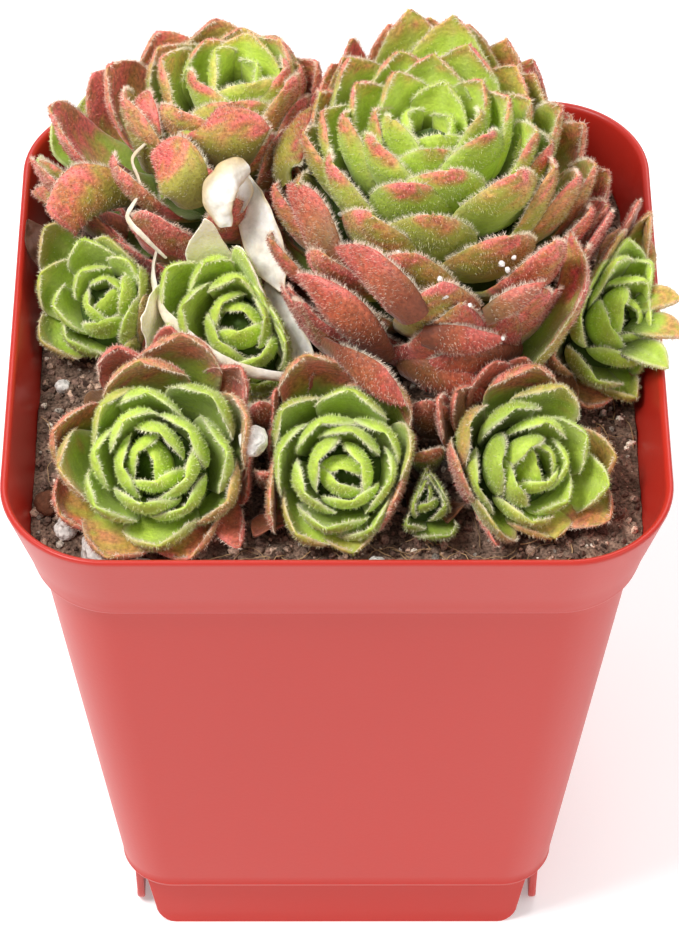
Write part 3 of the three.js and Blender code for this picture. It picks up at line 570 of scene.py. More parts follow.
def make_soil():
    rim = dense_ring(SOIL_EDGE, SOIL_INSET)
    rings = [dense_ring(FLOOR_UNDER + FLOOR_THICK + CLEAR, SOIL_INSET)]
    rings += [dense_ring(BAND_FOOT + rise, SOIL_INSET + SOIL_EASE) for rise in (-1.8, 1.0)]
    for share in SOIL_SHARES:
        ring = rim * (share, share, 1)
        ring[:, 2] = soil_height(ring[:, 0], ring[:, 1])
        rings.append(ring)
    points, faces = skin(rings)
    shade, warm = (0.5 + 0.5 * noise(points, scale, seed)[:, None] for scale, seed in ((0.9, 9), (0.35, 11)))
    colour = mix(lin(108, 87, 75), lin(156, 128, 109), warm) * (0.2 + 1.5 * shade)
    soil = mesh_piece("soil_surface", points, quads_and_tris(faces), EARTH, colours=colour)
    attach(soil, "root")
    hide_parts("soil")


def blob(detail):
    bm = bmesh.new()
    bmesh.ops.create_icosphere(bm, subdivisions=detail, radius=1)
    p = np.array([v.co[:] for v in bm.verts])
    f = np.array([[v.index for v in face.verts] for face in bm.faces])
    bm.free()
    return p, f


def inside_pot(x, y, margin):
    """Whether a place lies on the soil, this far from the pot's wall."""
    corner = SOIL_CORNER - margin
    dx = np.maximum(np.abs(x) - (SOIL_HALF - margin - corner), 0)
    dy = np.maximum(np.abs(y) - (SOIL_HALF - margin - corner), 0)
    return np.hypot(dx, dy) < corner


def make_crumbs():
    p, f = blob(1)
    pile = Pile()
    draws = np.random.default_rng(CRUMB_SEED)
    total = 0
    while total < CRUMBS:
        x, y = draws.uniform(-CRUMB_SPAN, CRUMB_SPAN, 2)
        if not inside_pot(x, y, CRUMB_MARGIN):
            continue
        size = CRUMB_LEAST + CRUMB_MORE * draws.random() ** CRUMB_POWER
        q = p * (1 + 0.35 * noise(p, 1.6, total % 40)[:, None]) * size * draws.uniform(*CRUMB_STRETCH, 3)
        q = q @ turned(draws.uniform(0, TAU)).T + (x, y, soil_height(x, y) + 0.35 * size)
        kind = draws.random()
        base = lin(126, 101, 88) if kind < 0.5 else lin(178, 150, 130) if kind < 0.9 else lin(232, 218, 200)
        pile.add(q, f, np.tile(base * draws.uniform(*CRUMB_SHADES), (len(q), 1)))
        total += 1
    crumbs = pile.piece("soil_crumbs", EARTH, False)
    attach(crumbs, "root")


def tube(path, radii):
    """A thin tube along a path of points."""
    along = unit(np.gradient(np.array(path), axis=0))
    side = unit(np.cross(along, (0.13, 0.2, 0.97)))
    up = np.cross(along, side)
    a = (np.arange(ROOT_SIDES) / ROOT_SIDES * TAU)[:, None]
    points, faces = skin([middle + radius * (np.cos(a) * right + np.sin(a) * over)
                          for middle, radius, right, over in zip(path, radii, side, up)])
    return points, quads_and_tris(faces)


def make_roots():
    draws = np.random.default_rng(ROOT_SEED)
    pile = Pile()
    for (cx, cy), wx, wy, number in ROOT_AREAS:
        for _ in range(number):
            x, y = cx + draws.uniform(-wx, wx), cy + draws.uniform(-wy, wy)
            heading, curl = draws.uniform(0, TAU), draws.uniform(-0.25, 0.25)
            steps = int(draws.integers(6, 14))
            path = []
            for k in range(steps):
                if not inside_pot(x, y, ROOT_MARGIN):
                    break
                lift = 0.25 + 0.7 * math.sin(math.pi * k / steps) * draws.uniform(0.4, 1.0)
                path.append((x, y, soil_height(x, y) + lift))
                heading += curl + draws.uniform(-0.2, 0.2)
                x += ROOT_STEP * math.cos(heading)
                y += ROOT_STEP * math.sin(heading)
            if len(path) < ROOT_LEAST:
                continue
            thick = draws.uniform(0.05, 0.13)
            p, f = tube(path, np.linspace(thick, thick * 0.5, len(path)))
            pile.add(p, f, np.tile(lin(204, 168, 124) * draws.uniform(0.5, 1.15), (len(p), 1)))
    roots = pile.piece("root_fibres", GRAIN)
    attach(roots, "root")


def make_grain(name, numbers, seed):
    x, y, rise, rx, ry, rz = numbers
    p, f = blob(4)
    wave = np.sin(3.1 * p[:, 0] + seed) * np.cos(2.7 * p[:, 1] - seed) + np.sin(3.7 * p[:, 2] + 2 * seed)
    rough = 0.10 * noise(p, 2.6, seed) + 0.06 * noise(p, 5.5, seed + 5) + 0.03 * noise(p, 12, seed + 9)
    q = p * (0.97 + 0.16 * wave / 2 + rough)[:, None] * (rx, ry, rz)
    q = q @ turned(seed).T + (x, y, SOIL_EDGE + rise)
    if name == "bark_clod":
        colour = lin(96, 58, 40) * (0.7 + 0.6 * (0.5 + 0.5 * noise(p, 4, 2)))[:, None]
    else:
        spots = 0.85 if name in ("perlite_corner", "perlite_front_left") else 0.3
        dirt = spots * step(noise(p, 4.5, seed + 20), 0.35, 0.75)[:, None]
        white = lin(232, 228, 220) * (0.86 + 0.14 * noise(p, 3, seed)[:, None])
        colour = mix(white, lin(120, 100, 84), dirt)
    grain = mesh_piece(name + "_rough", q, f, GRAIN, True, colour)
    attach(grain, "root")
    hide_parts(name)


# Leaves, by the same rule as in part.mjs.
def mean_rule(plan, age):
    """The even form of a leaf of this age: directions in radians, sizes in millimetres."""
    grown = age ** GROWTH
    rule = dict(around=0.0, age=age, cup=lerp(plan["cup"], grown), roll=0.0, round=plan["roundness"])
    for key in ("length", "half", "ring", "thick"):
        rule[key] = plan["size"] * lerp(plan[key], grown)
    rule["lift"] = plan["size"] * lerp(plan["lift"], age ** SETTLING)
    rule["base"], rule["tip"] = lerp(plan["leanBase"], grown) * DEG, lerp(plan["leanTip"], grown) * DEG
    return rule


def leaf_rule(plan, i, seed):
    """The form of leaf i, with its own deviation from the even form."""
    age = (i + 0.6) / plan["count"]
    rule = mean_rule(plan, age)

    def vary(slot):
        return draw(seed, i * 5 + slot) - 0.5

    rule["around"] = plan["spin"] * DEG + plan["hand"] * GOLDEN * DEG * i + TURN_VARIES * vary(1)
    face = math.cos(rule["around"] - plan["front"] * DEG) * age
    aside = math.sin(rule["around"] - plan["front"] * DEG) ** 2 * age
    rule["length"] *= (1 - plan["longer"] * face) * (1 - plan["slim"] * aside) * (1 + LENGTH_VARIES * vary(2))
    rule["half"] *= 1 + WIDTH_VARIES * vary(3)
    rule["base"] += plan["sag"] * face * DEG
    rule["tip"] += (plan["sagTip"] * face + TIP_VARIES * vary(4)) * DEG
    rule["roll"] = ROLL_VARIES * vary(5)
    return rule


def leaf_points(rule, s, t, wave=0.0, phase=0.0):
    """Points of a leaf's middle surface: s along it from root to tip, t across it from edge to edge."""
    bend = (rule["tip"] - rule["base"]) or 0.0001
    lean = rule["base"] + bend * s
    out = rule["ring"] + rule["length"] * (math.cos(rule["base"]) - np.cos(lean)) / bend
    up = rule["lift"] + rule["length"] * (np.sin(lean) - math.sin(rule["base"])) / bend
    past = np.clip((s - WIDEST) / (1 - WIDEST), 0, 1)
    rise = NECK + (1 - NECK) * np.sin(np.pi / 2 * np.minimum(1, s / WIDEST))
    half = rule["half"] * rise * np.maximum(0, 1 - past * past) ** rule["round"]
    half = np.maximum(half, 0.006 * rule["length"])
    arc = rule["cup"] * (0.55 + 0.45 * s)
    side = half * np.sin(arc * t) / arc
    offset = half * (1 - np.cos(arc * t)) / arc + rule["roll"] * side
    offset = offset + wave * np.abs(t) ** 2.5 * np.sin(9 * s + phase + 1.5 * np.sign(t))
    out = out - np.cos(lean) * offset
    up = up + np.sin(lean) * offset
    c, n = math.cos(rule["around"]), math.sin(rule["around"])
    return np.stack([out * c - side * n, out * n + side * c, up], -1)


def frame_of(plan):
    """The turn that leans a rosette toward one side."""
    t, a = plan["tilt"] * DEG, plan["toward"] * DEG
    k = np.array([math.sin(t) * math.cos(a), math.sin(t) * math.sin(a), math.cos(t)])
    v = unit(np.array([-k[1], k[0], 0.0]))
    cross = np.array([[0, -v[2], v[1]], [v[2], 0, -v[0]], [-v[1], v[0], 0]])
    return np.eye(3) + math.sin(t) * cross + (1 - math.cos(t)) * cross @ cross


def limits_of(name):
    """Planes that hold a rosette's leaves: a point, the way out and how far in the plane is felt."""
    (place, radius), limits = ROSETTES[name]["ball"], []
    for other, near in ROSETTES.items():
        if other == name:
            continue
        near_place, near_radius = near["ball"]
        way = np.array(near_place, float) - place
        span = np.linalg.norm(way)
        if span > radius + near_radius + NEIGHBOUR_SPAN:
            continue
        share = (span ** 2 + radius ** 2 - near_radius ** 2) / (2 * span)
        limits.append((place + way / span * share, way / span, PRESS_REACH))
    for k in range(WALL_DIRECTIONS):
        a = k * TAU / WALL_DIRECTIONS
        c, s = math.cos(a), math.sin(a)
        half, corner = RIM_HALF - WALL - CLEAR, RIM_CORNER - WALL - CLEAR
        reach = (half - corner) * (abs(c) + abs(s)) + corner
        wall = np.array([c * reach, s * reach, POT_HEIGHT])
        limits.append((wall, unit(np.array([c, s, -BAND_SLOPE])), WALL_REACH))
        if k % 4 == 0:
            rim = np.array([c * RIM_LIMIT, s * RIM_LIMIT, POT_HEIGHT])
            limits.append((rim, np.array([c, s, 0.0]), WALL_REACH))
    limits.append((np.array([0, 0, GROUND]), np.array([0, 0, -1.0]), GROUND_REACH))
    return limits


def press(points, limits, half):
    """Bends points of a leaf, of this half thickness, back behind the limits."""
    keep = PRESS_GAP + half
    for q, normal, reach in limits:
        reach = reach + half
        d = (points - q) @ normal
        room = reach - keep
        held = -keep - room * np.exp(-np.maximum(d + reach, 0) / room)
        points = points + np.where(d > -reach, held - d, 0)[..., None] * normal
    for _ in range(HARD_PASSES):
        for q, normal, _reach in limits:
            d = (points - q) @ normal
            points = points + np.minimum(-keep - d, 0)[..., None] * normal
    return points


PALETTE = {key: lin(*rgb) for key, rgb in dict(
    young=(219, 240, 100), green=(170, 199, 70), deep=(98, 128, 48), edge=(232, 236, 188), red=(196, 68, 64),
    pink=(232, 128, 120), brown=(170, 96, 58), cream=(252, 243, 222), tan=(214, 188, 140),
    olive=(184, 170, 72), wine=(146, 50, 52), spent=(146, 104, 66), rust=(150, 48, 46)).items()}
# For each rosette: the ages between which its leaves turn red, how strongly, and how pale their edges are.
BLUSH = {
    "rosette_main": (0.1, 0.85, 1.0, 0.3), "rosette_second": (0.0, 0.6, 1.0, 0.25),
    "rosette_front_left": (0.45, 0.95, 1.0, 0.55), "rosette_front_middle": (0.55, 1.0, 0.9, 0.65),
    "rosette_front_right": (0.45, 1.0, 0.9, 0.55), "rosette_centre": (0.75, 1.1, 0.5, 0.6),
    "rosette_left": (0.55, 1.1, 0.8, 0.5), "rosette_right": (0.5, 1.0, 0.8, 0.5),
    "rosette_bud": (0.8, 1.2, 0.4, 0.6), "rosette_back_left": (0.7, 1.3, 0.5, 0.6),
}
DRY_COUNT = {"rosette_centre": 6}
# A rosette larger than this is a big one. Points along and across a leaf of a big one and of another.
BIG, BIG_GRID, SMALL_GRID = 20, (22, 13), (17, 11)
# Where a leaf starts along its length, then the wave of its rim: in a big one, in another, and more when dry.
LEAF_START, BIG_WAVE, SMALL_WAVE, DRY_WAVE = 0.14, 0.010, 0.014, 3.0
FREE_SEED, OLD_AGE, OLD_DROP, RUST_START = 700, 1.1, -0.8, 0.9
# Older leaves below the others: how many, between which directions in degrees, how long and how wide.
OLD_LEAVES = {
    "rosette_front_left": ((8, -50, 130, 0.9, 0.62),), "rosette_front_middle": ((8, 10, 225, 0.92, 0.62),),
    "rosette_front_right": ((8, 70, 245, 0.92, 0.62),), "rosette_left": ((4, -80, 60, 0.9, 0.7),),
    "rosette_right": ((4, 90, 220, 0.9, 0.7),),
    "rosette_main": ((11, 205, 350, 0.84, 0.56), (13, -10, 205, 0.56, 0.6)),
    "rosette_second": ((3, 235, 290, 0.8, 0.62), (9, 20, 235, 0.6, 0.7)),
}
# Single leaves outside the round: a path from root to tip, the way the face looks, half width and age.
FREE_LEAVES = {
    "rosette_right": (
        (((39.0, -1.0, 97.4), (43.4, -4.2, 100.4), (47.2, -6.8, 101.6)), (-0.4, 0.2, 0.9), 2.2, 0.78),
        (((39.4, 0.6, 97.8), (43.4, 0.4, 100.9), (47.0, -0.6, 102.6)), (-0.5, 0.0, 0.9), 2.0, 0.78),
        (((38.4, -4.0, 96.4), (41.8, -8.6, 99.8), (44.6, -12.2, 101.0)), (-0.4, 0.4, 0.8), 2.2, 0.78),
        (((37.6, 5.0, 95.6), (40.8, 9.6, 99.4), (42.8, 13.2, 101.8)), (-0.3, -0.7, 0.7), 3.2, 0.95),
        (((37.2, 6.0, 95.0), (39.2, 11.0, 98.6), (40.8, 15.6, 101.0)), (-0.1, -0.8, 0.6), 2.8, 0.95),
    ),
    "rosette_main": (
        (((7.5, -10.7, 98.7), (3.9, -14.4, 107.7), (1.1, -14.3, 111.9), (-2.2, -12.0, 114.2),
          (-5.2, -7.0, 113.6)), (0.4, 0.85, 0.1), 3.6, 1.1),
        (((7.5, -10.5, 100.4), (10.5, -14.6, 102.0), (14.5, -16.7, 102.2), (17.6, -17.2, 101.2),
          (20.0, -17.0, 100.1)), (0.0, 0.9, 0.1), 3.2, 1.1),
        (((-2.8, -8.8, 103.3), (1.7, -19.5, 108.9), (5.4, -22.3, 107.7), (9.1, -23.6, 105.8)),
         (0.3, 0.9, 0.1), 2.8, 1.1),
        (((26.2, -8.3, 100.5), (20.5, -14.9, 104.9), (15.1, -15.9, 104.4), (10.6, -13.2, 102.0)),
         (-0.2, 0.9, 0.2), 2.8, 1.1),
        (((9.9, -16.2, 111.6), (13.6, -17.7, 111.6), (17.6, -17.4, 110.7), (22.2, -16.8, 111.5)),
         (0.0, 0.9, 0.1), 2.6, 1.1),
        (((19.0, -14.9, 97.9), (24.6, -14.1, 101.8), (29.1, -11.3, 106.2), (32.3, -6.9, 110.8),
          (31.4, 0.0, 114.9)), (-0.6, 0.2, 0.77), 3.8, 1.0),
        (((18.5, -17.2, 115.2), (22.1, -16.3, 116.2), (27.3, -13.2, 118.3)), (-0.2, 0.9, 0.2), 2.2, 1.1),
        (((11.5, -17.4, 113.2), (7.6, -16.7, 118.1), (3.7, -11.8, 118.7), (-0.1, -6.6, 118.3)),
         (0.4, 0.85, 0.0), 3.6, 1.05),
        (((0.2, -7.8, 111.4), (-2.2, -4.2, 115.0), (-4.5, 1.4, 116.5), (-6.6, 7.1, 116.7)),
         (0.75, 0.6, -0.1), 3.8, 1.05),
        (((-6.1, 8.1, 111.9), (-7.7, 12.6, 113.8), (-6.6, 15.8, 117.2), (-3.3, 19.4, 119.6)),
         (0.7, 0.5, 0.2), 3.4, 1.0),
    ),
    "rosette_second": (
        (((-27.5, 20.4, 101.1), (-31.1, 15.6, 105.0), (-35.3, 12.8, 106.8), (-39.8, 13.3, 106.3)),
         (0.4, 0.75, -0.2), 5.4, 0.7),
        (((-25.3, 17.9, 107.0), (-26.8, 18.6, 112.3), (-27.8, 20.7, 116.0), (-26.9, 25.8, 115.6)),
         (0.75, 0.4, -0.2), 4.0, 0.7),
        (((-15.3, 13.4, 111.9), (-15.3, 12.3, 118.1), (-15.5, 13.3, 121.3), (-15.8, 17.0, 121.7)),
         (0.1, 0.8, -0.3), 5.6, 0.6),
        (((-18.6, 8.3, 109.6), (-20.9, 7.8, 115.0), (-23.1, 10.5, 116.5), (-25.1, 14.0, 116.0)),
         (0.3, 0.8, -0.3), 4.4, 0.7),
        (((-36.3, 26.3, 97.8), (-38.9, 25.0, 101.0), (-41.8, 27.3, 102.3)), (0.4, 0.5, 0.5), 2.4, 0.6),
        (((-35.9, 18.7, 100.0), (-39.4, 19.6, 101.3), (-42.6, 22.0, 101.2)), (0.3, 0.7, 0.2), 2.2, 0.8),
    ),
    "rosette_front_left": (
        (((-9.6, -17.5, 93.5), (-9.8, -19.4, 98.6), (-10.2, -21.2, 104.0)), (-0.1, 0.95, 0.1), 1.8, 1.1),
        (((-9.4, -25.8, 92.0), (-9.4, -27.4, 95.5), (-9.6, -29.4, 98.8)), (0.15, 0.95, 0.1), 1.5, 1.1),
    ),
    "rosette_front_right": (
        (((12.6, -18.5, 93.5), (12.4, -20.5, 99.5), (11.8, -22.5, 105.5)), (0.1, 0.95, 0.1), 2.5, 1.1),
        (((12.2, -23.5, 92.5), (12.2, -25.3, 96.5), (11.9, -27.4, 101.0)), (-0.2, 0.95, 0.1), 2.2, 0.95),
    ),
}
# Where a free leaf is widest and how pointed it is, in a slim one, below the half width, and in a broad one.
SLIM_SHAPE, SLIM_HALF, BROAD_SHAPE, FREE_WIDER = (0.52, 1.0), 4, (WIDEST, 0.75), 1.08
# Small spent leaves lying between the rosettes: path and half width.
WITHERED = (
    (((-5, -20, 91), (-8.5, -18.5, 94), (-11, -17, 97)), 2.4),
    (((-5, -25, 90.5), (-8.8, -25.5, 93), (-11, -27, 95.5)), 2.2),
    (((-6, -30, 90), (-9, -32, 91.5), (-11, -34.5, 92)), 1.9),
    (((-14, -14, 91), (-11.5, -16, 94), (-9, -18, 96)), 2.0),
    (((7, -20, 91), (10.5, -18, 94), (13.5, -16, 96)), 2.4),
    (((16, -20, 91), (14.5, -17, 94), (12, -14, 96.5)), 2.2),
    (((17, -27, 90.5), (15.2, -30, 92), (14.6, -33, 93)), 1.8),
    (((28, -16, 91), (30.5, -12, 94), (31.5, -8, 96)), 2.4),
    (((30, -22, 90.5), (33, -20, 93), (35.5, -17, 94.5)), 2.0),
    (((-30, -8, 91), (-32, -11, 93), (-34, -14, 94)), 2.0),
    (((4, -8, 92), (4, -12, 95), (3, -15.5, 98)), 2.6),
    (((14, -8, 92), (14.5, -12, 95), (15, -15, 98)), 2.6),
    (((22, -6, 92), (25, -9, 95), (27.5, -11.5, 98)), 2.6),
)
# Thin dried leaf edges: name, path, the point that they face, half width.
# The ones wider than the first half width are flaps, those narrower than the second are threads.
FLAP_HALF, THREAD_HALF = 2, 0.4
RIBBONS = (
    ("dry_rim_upper", ((-25.3, 17.6, 115.5), (-27.9, 15.7, 113.6), (-27.1, 12.4, 112.9), (-26.2, 9.8, 111.6)),
     (-16, 27, 108), 0.3),
    ("dry_rim_middle", ((-27.3, 10.5, 111.0), (-28.6, 7.9, 109.8), (-26.7, 4.9, 109.5), (-23.3, 4.2, 105.6)),
     (-16, 20, 106), 0.5),
    ("dry_rim_centre", ((-21.5, 13, 105), (-24.5, 9, 103.5), (-25.3, 3.5, 101.5), (-23.5, -2.5, 101),
                        (-19.5, -7.5, 101), (-14.5, -11.5, 100.5), (-8.5, -13, 100), (-3, -12.5, 99.5)),
     (-13, 1, 100), 1.25),
    ("dry_flap", ((-12.0, 9.6, 118.0), (-14.6, 6.5, 118.4), (-16.3, 4.1, 116.7), (-15.2, 3.0, 112.6)),
     (-10, 20, 112), 2.4),
)
# White specks: place and radius. The first is a perlite grain on the leaves; the twelve small ones on the big
# rosette are painted highlights, white dots that stand in for glints.
GRAIN_AND_GLINT_SPECKS = ((-11.1, -26.2, 101.6, 1.9), (14.0, -16.4, 119.3, 0.75), (13.5, -14.7, 120.3, 0.4),
          (21.7, -10.6, 119.1, 0.45), (22.5, -11.2, 118.5, 0.4), (23.4, -9.4, 119.0, 0.35),
          (4.9, -12.4, 116.7, 0.35), (4.2, -3.0, 111.9, 0.35), (17.4, -17.5, 118.3, 0.3),
          (8.1, -7.8, 118.5, 0.3), (0.5, 6.5, 111.7, 0.35), (21.9, -17.2, 111.8, 0.3), (2.1, 7.3, 112.5, 0.3))


def leaf_colour(name, rule, i, seed, s, t, outer, points):
    """Colour of leaf points, with painted shade toward the root: s along, t across, outer 1 on the outer face
    and 0 on the inner.
    """
    p = PALETTE
    start, full, strength, edging = BLUSH[name]
    big = ROSETTES[name]["size"] > BIG
    age = min(1.0, rule["age"])
    own = draw(seed, i * 7 + 3)
    s, t, outer = s[:, None], t[:, None], outer[:, None]
    patch = (noise(points, 0.28, seed + 2) * 0.5 + noise(points, 0.9, seed + 3) * 0.5)[:, None]
    fine = noise(points, 2.4, seed + 4)[:, None]
    base = mix(p["young"], p["green"], age)
    base = mix(base, p["deep"], (0.35 if big else 0.25) * outer)
    # Painted shade: deep green toward the leaf's root, where it lies down among the other leaves.
    base = mix(base, p["deep"], 0.6 * step(s, 0.62, 0.2))
    base = mix(base, p["edge"], 0.12 * (1 - outer) * step(np.abs(t), 0.25, 0.0) * step(s, 0.2, 0.5))
    base = mix(base, p["edge"], edging * step(np.abs(t), 0.8, 1.0) * step(s, 0.2, 0.55))
    if big:
        base = mix(base, p["olive"], 0.85 * step(age, 0.2, 0.6) * outer)
    grown = float(step(age + 0.3 * (own - 0.5), start, full))
    reach = 0.95 - (0.34 if big else 0.4) * grown
    tip = step(s + 0.22 * patch + 0.06 * fine, reach - 0.16, reach + 0.14)
    rim = step(np.abs(t) + 0.25 * patch + 0.08 * fine, 0.5, 1.0) * step(s, 0.35, 0.7)
    red = grown * np.clip(tip + 0.7 * rim, 0, 1)
    if big:
        red = np.maximum(red, 0.9 * step(s + 0.1 * patch, 0.82, 0.97) * step(age, 0.02, 0.12))
    inside = mix(0.6, 1.0, grown)
    red = np.clip(strength * red * mix(inside, 1.0, outer) * (0.86 + 0.5 * patch + 0.3 * fine), 0, 1)
    blush = mix(p["brown"], p["red"], np.clip(0.1 + 0.9 * tip + 0.6 * patch, 0, 1))
    paler = 0.3 if name == "rosette_second" else 0.1
    rosy = paler + 0.5 * rim * tip + 0.4 * step(s, 0.8, 1.0) + 0.4 * patch + 0.35 * fine
    blush = mix(blush, p["pink"], np.clip(rosy, 0, 0.9))
    if big:
        deepens = 0.45 if name == "rosette_main" else 0.1
        blush = mix(blush, p["wine"], deepens * step(age + 0.1 * (own - 0.5), 0.75, 1.0))
    else:
        blush = mix(blush, p["spent"], 0.4 * step(patch + 0.5 * (own - 0.5), -0.1, 0.3))
    colour = mix(base, blush, red)
    if rule["age"] > 1:
        faded = np.clip((0.2 if big else 0.6) + patch + 0.8 * (own - 0.5), 0, 1)
        old = mix(mix(p["red"], p["brown"], 0.3), p["spent"], faded)
        colour = mix(colour, mix(old, p["pink"], 0.5 * rim + 0.25 * step(s, 0.5, 1.0)), 0.85)
    # Painted shade: the whole colour darker toward the leaf's root, as shade among the leaves.
    shade = 0.4 + 0.6 * step(s, 0.2, 0.62)
    dull = 0.68 if name == "rosette_bud" else 1.0
    return dull * colour * shade * (1 + 0.22 * patch + 0.14 * fine) * (0.9 + 0.2 * own)


def dry_colour_with_painted_light(points, seed):
    patch = noise(points, 0.5, seed)[:, None]
    streak = noise(points * (1, 1, 2.5), 1.3, seed + 1)[:, None]
    share = np.clip(0.25 + 0.45 * patch + 0.3 * streak, 0, 1)
    # Their own cream to tan, brightened 1.35 times as painted light on these dry leaves, which lie in shade.
    return mix(PALETTE["cream"], PALETTE["tan"], 0.05 + 0.4 * share) * 1.35


def around(low, top):
    """Joins values on a sheet's lower face with those on its upper face, taken the other way."""
    return np.concatenate([low, top[:, -2:0:-1]], axis=1)


def tube_faces(rows, ring):
    """Triangles of a closed tube of this many rings."""
    r, c = np.meshgrid(np.arange(rows - 1), np.arange(ring), indexing="ij")
    a, b = r * ring + c, r * ring + (c + 1) % ring
    return quads_and_tris(np.stack([a, b, b + ring, a + ring], -1).reshape(-1, 4))


def cell_areas(points):
    a = points[1:, :-1] - points[:-1, :-1]
    b = points[:-1, 1:] - points[:-1, :-1]
    return np.linalg.norm(np.cross(a, b), axis=-1)


# Hairs: their width on the faces and along the rim, how deep they root and how their length varies.
HAIR_WIDTH, RIM_HAIR_WIDTH, HAIR_ROOT, HAIR_VARIES = 0.085, 0.07, 0.03, (0.6, 1.25)


def hairs_on(points, normals, tips, colour, number, length, width, lean, draws, wild=0.35):
    """Thin hairs spread evenly over a grid of points. Returns points, faces and colours."""
    cols = points.shape[1]
    areas = cell_areas(points).ravel() + 1e-6
    cell = draws.choice(len(areas), number, p=areas / areas.sum())
    i, j = cell // (cols - 1), cell % (cols - 1)
    fu, fv = draws.random((number, 1)), draws.random((number, 1))

    def at(grid):
        return (grid[i, j] * (1 - fu) * (1 - fv) + grid[i + 1, j] * fu * (1 - fv)
                + grid[i, j + 1] * (1 - fu) * fv + grid[i + 1, j + 1] * fu * fv)

    root, normal, along = at(points), unit(at(normals)), unit(at(tips))
    way = unit(normal + lean * along + wild * draws.normal(size=(number, 3)))
    side = unit(np.cross(way, draws.normal(size=(number, 3))))
    size = (length * draws.uniform(*HAIR_VARIES, number))[:, None]
    a = root - side * width / 2 - normal * HAIR_ROOT
    b = root + side * width / 2 - normal * HAIR_ROOT
    corners = np.stack([a, b, root + way * size], 1).reshape(-1, 3)
    return corners, np.arange(3 * number).reshape(-1, 3), np.repeat(at(colour), 3, axis=0)


def leaves_of(name, seed):
    """The rules of all leaves of a rosette, each with its number and whether it is dry."""
    plan = ROSETTES[name]
    live = plan["count"] - DRY_COUNT.get(name, 0)
    rules = [(i, leaf_rule(plan, i, seed), i >= live) for i in range(plan["count"])]
    for older, low_way, high_way, longer, wider in OLD_LEAVES.get(name, ()):
        for k in range(older):
            i = len(rules)
            way = lerp((low_way, high_way), (k + 0.5) / older) * DEG
            rule = leaf_rule(plan, plan["count"], seed + i)
            rule.update(age=OLD_AGE, lift=OLD_DROP, around=way + 0.4 * (draw(seed, i) - 0.5))
            rule["length"] *= longer * (0.8 + 0.4 * draw(seed, i + 400))
            rule["half"] *= wider * (0.8 + 0.4 * draw(seed, i + 500))
            rule["tip"] += 26 * DEG * draw(seed, i + 600)
            rules.append((i, rule, False))
    return rules


def free_leaf(path, face, half, S, T):
    """The middle surface of a leaf along a path."""
    P = smooth_path(path, S)
    across, up = across_and_up(face, unit(np.gradient(P, axis=0)))
    widest, pointed = SLIM_SHAPE if half < SLIM_HALF else BROAD_SHAPE
    past = np.clip((S - widest) / (1 - widest), 0, 1)
    wide = NECK + (1 - NECK) * np.sin(np.pi / 2 * np.minimum(1, S / widest))
    side = np.maximum(FREE_WIDER * half * wide * np.maximum(0, 1 - past * past) ** pointed, 0.05)
    return P + across * (side * T)[..., None] + up * (0.4 * side * T * T)[..., None]


def dress_leaf(name, rule, i, seed, P, S, T, dry, body, fuzz, draws, bare=None):
    """Skin, colour and hairs of one leaf around its middle surface; no hairs on its lowest share, bare."""
    big = ROSETTES[name]["size"] > BIG
    rows, cols = S.shape
    uneven = noise(P, 0.35, seed + 30) * 0.24 + noise(P, 0.9, seed + 31) * 0.09
    P = P + normals_of(P) * (uneven * min(1, rule["length"] / 20) * step(S, 0.2, 0.5))[..., None]
    along, across = np.gradient(P, axis=0), np.gradient(P, axis=1)
    N = unit(np.cross(along, across))
    round_edge = np.maximum(0, 1 - np.abs(T) ** 2.6) ** 0.5
    thick = (0.45 if dry else 1.0) * rule["thick"] * (1 - 0.45 * S) * round_edge
    thin = 0.12 * np.sqrt(np.maximum(0, 1 - T * T))
    thick = np.maximum(thick * np.minimum(1, 8 * np.maximum(0, 1.02 - S)) ** 0.5, thin)
    top, low = P + N * thick[..., None] / 2, P - N * thick[..., None] / 2
    ring = around(low, top)
    ring[-1] = ring[-1].mean(0)
    flat = ring.reshape(-1, 3)
    outer = around(np.ones((rows, cols)), np.zeros((rows, cols)))
    outer[:, 0] = outer[:, cols - 1] = 0.5
    if dry:
        body.add(flat, tube_faces(rows, ring.shape[1]), dry_colour_with_painted_light(flat, seed + i))
        return
    colour = leaf_colour(name, rule, i, seed, around(S, S).ravel(), around(T, T).ravel(), outer.ravel(), flat)
    body.add(flat, tube_faces(rows, ring.shape[1]), colour)
    C = colour.reshape(rows, -1, 3)
    low_c, top_c = C[:, :cols], np.concatenate([C[:, :1], C[:, :cols - 2:-1]], 1)
    along = unit(along)
    part = slice(int(rows * (bare if bare is not None else 0.42 if big else 0.36)), rows)
    cream = PALETTE["cream"]
    rusty = np.clip(low_c[part][..., :1] / np.maximum(low_c[part][..., 1:2], 0.01) - RUST_START, 0, 1)
    coats = ((low, -N, mix(low_c[part], cream, 0.5), 6.5 if big else 5.5, 0.46),
             (top, N, mix(top_c[part], cream, 0.45), 1.8, 0.26),
             (low, -N, mix(low_c[part], PALETTE["rust"], 0.7 * rusty), 6.5 if big else 3.0, 0.4))
    for face, way, paint, dense, length in coats:
        number = int(cell_areas(face[part]).sum() * dense)
        fuzz.add(*hairs_on(face[part], way[part], along[part], paint, number, length, HAIR_WIDTH, 0.5, draws))
    dense, length = (22, 0.74) if big else (15, 0.52)
    for column, sign in ((0, -1), (cols - 1, 1)):
        way, middle = unit(across[part, column] * sign), P[part, column]
        number = int(np.linalg.norm(np.diff(middle, axis=0), axis=1).sum() * dense)
        paint = mix(C[part, column], cream, 0.75)
        line, ways, tips, paints = (np.stack(pair, 1) for pair in (
            (middle, middle + 0.02 * way), (way, way), (along[part, column],) * 2, (paint, paint)))
        fuzz.add(*hairs_on(line, ways, tips, paints, number, length, RIM_HAIR_WIDTH, 0.6, draws, 0.45))


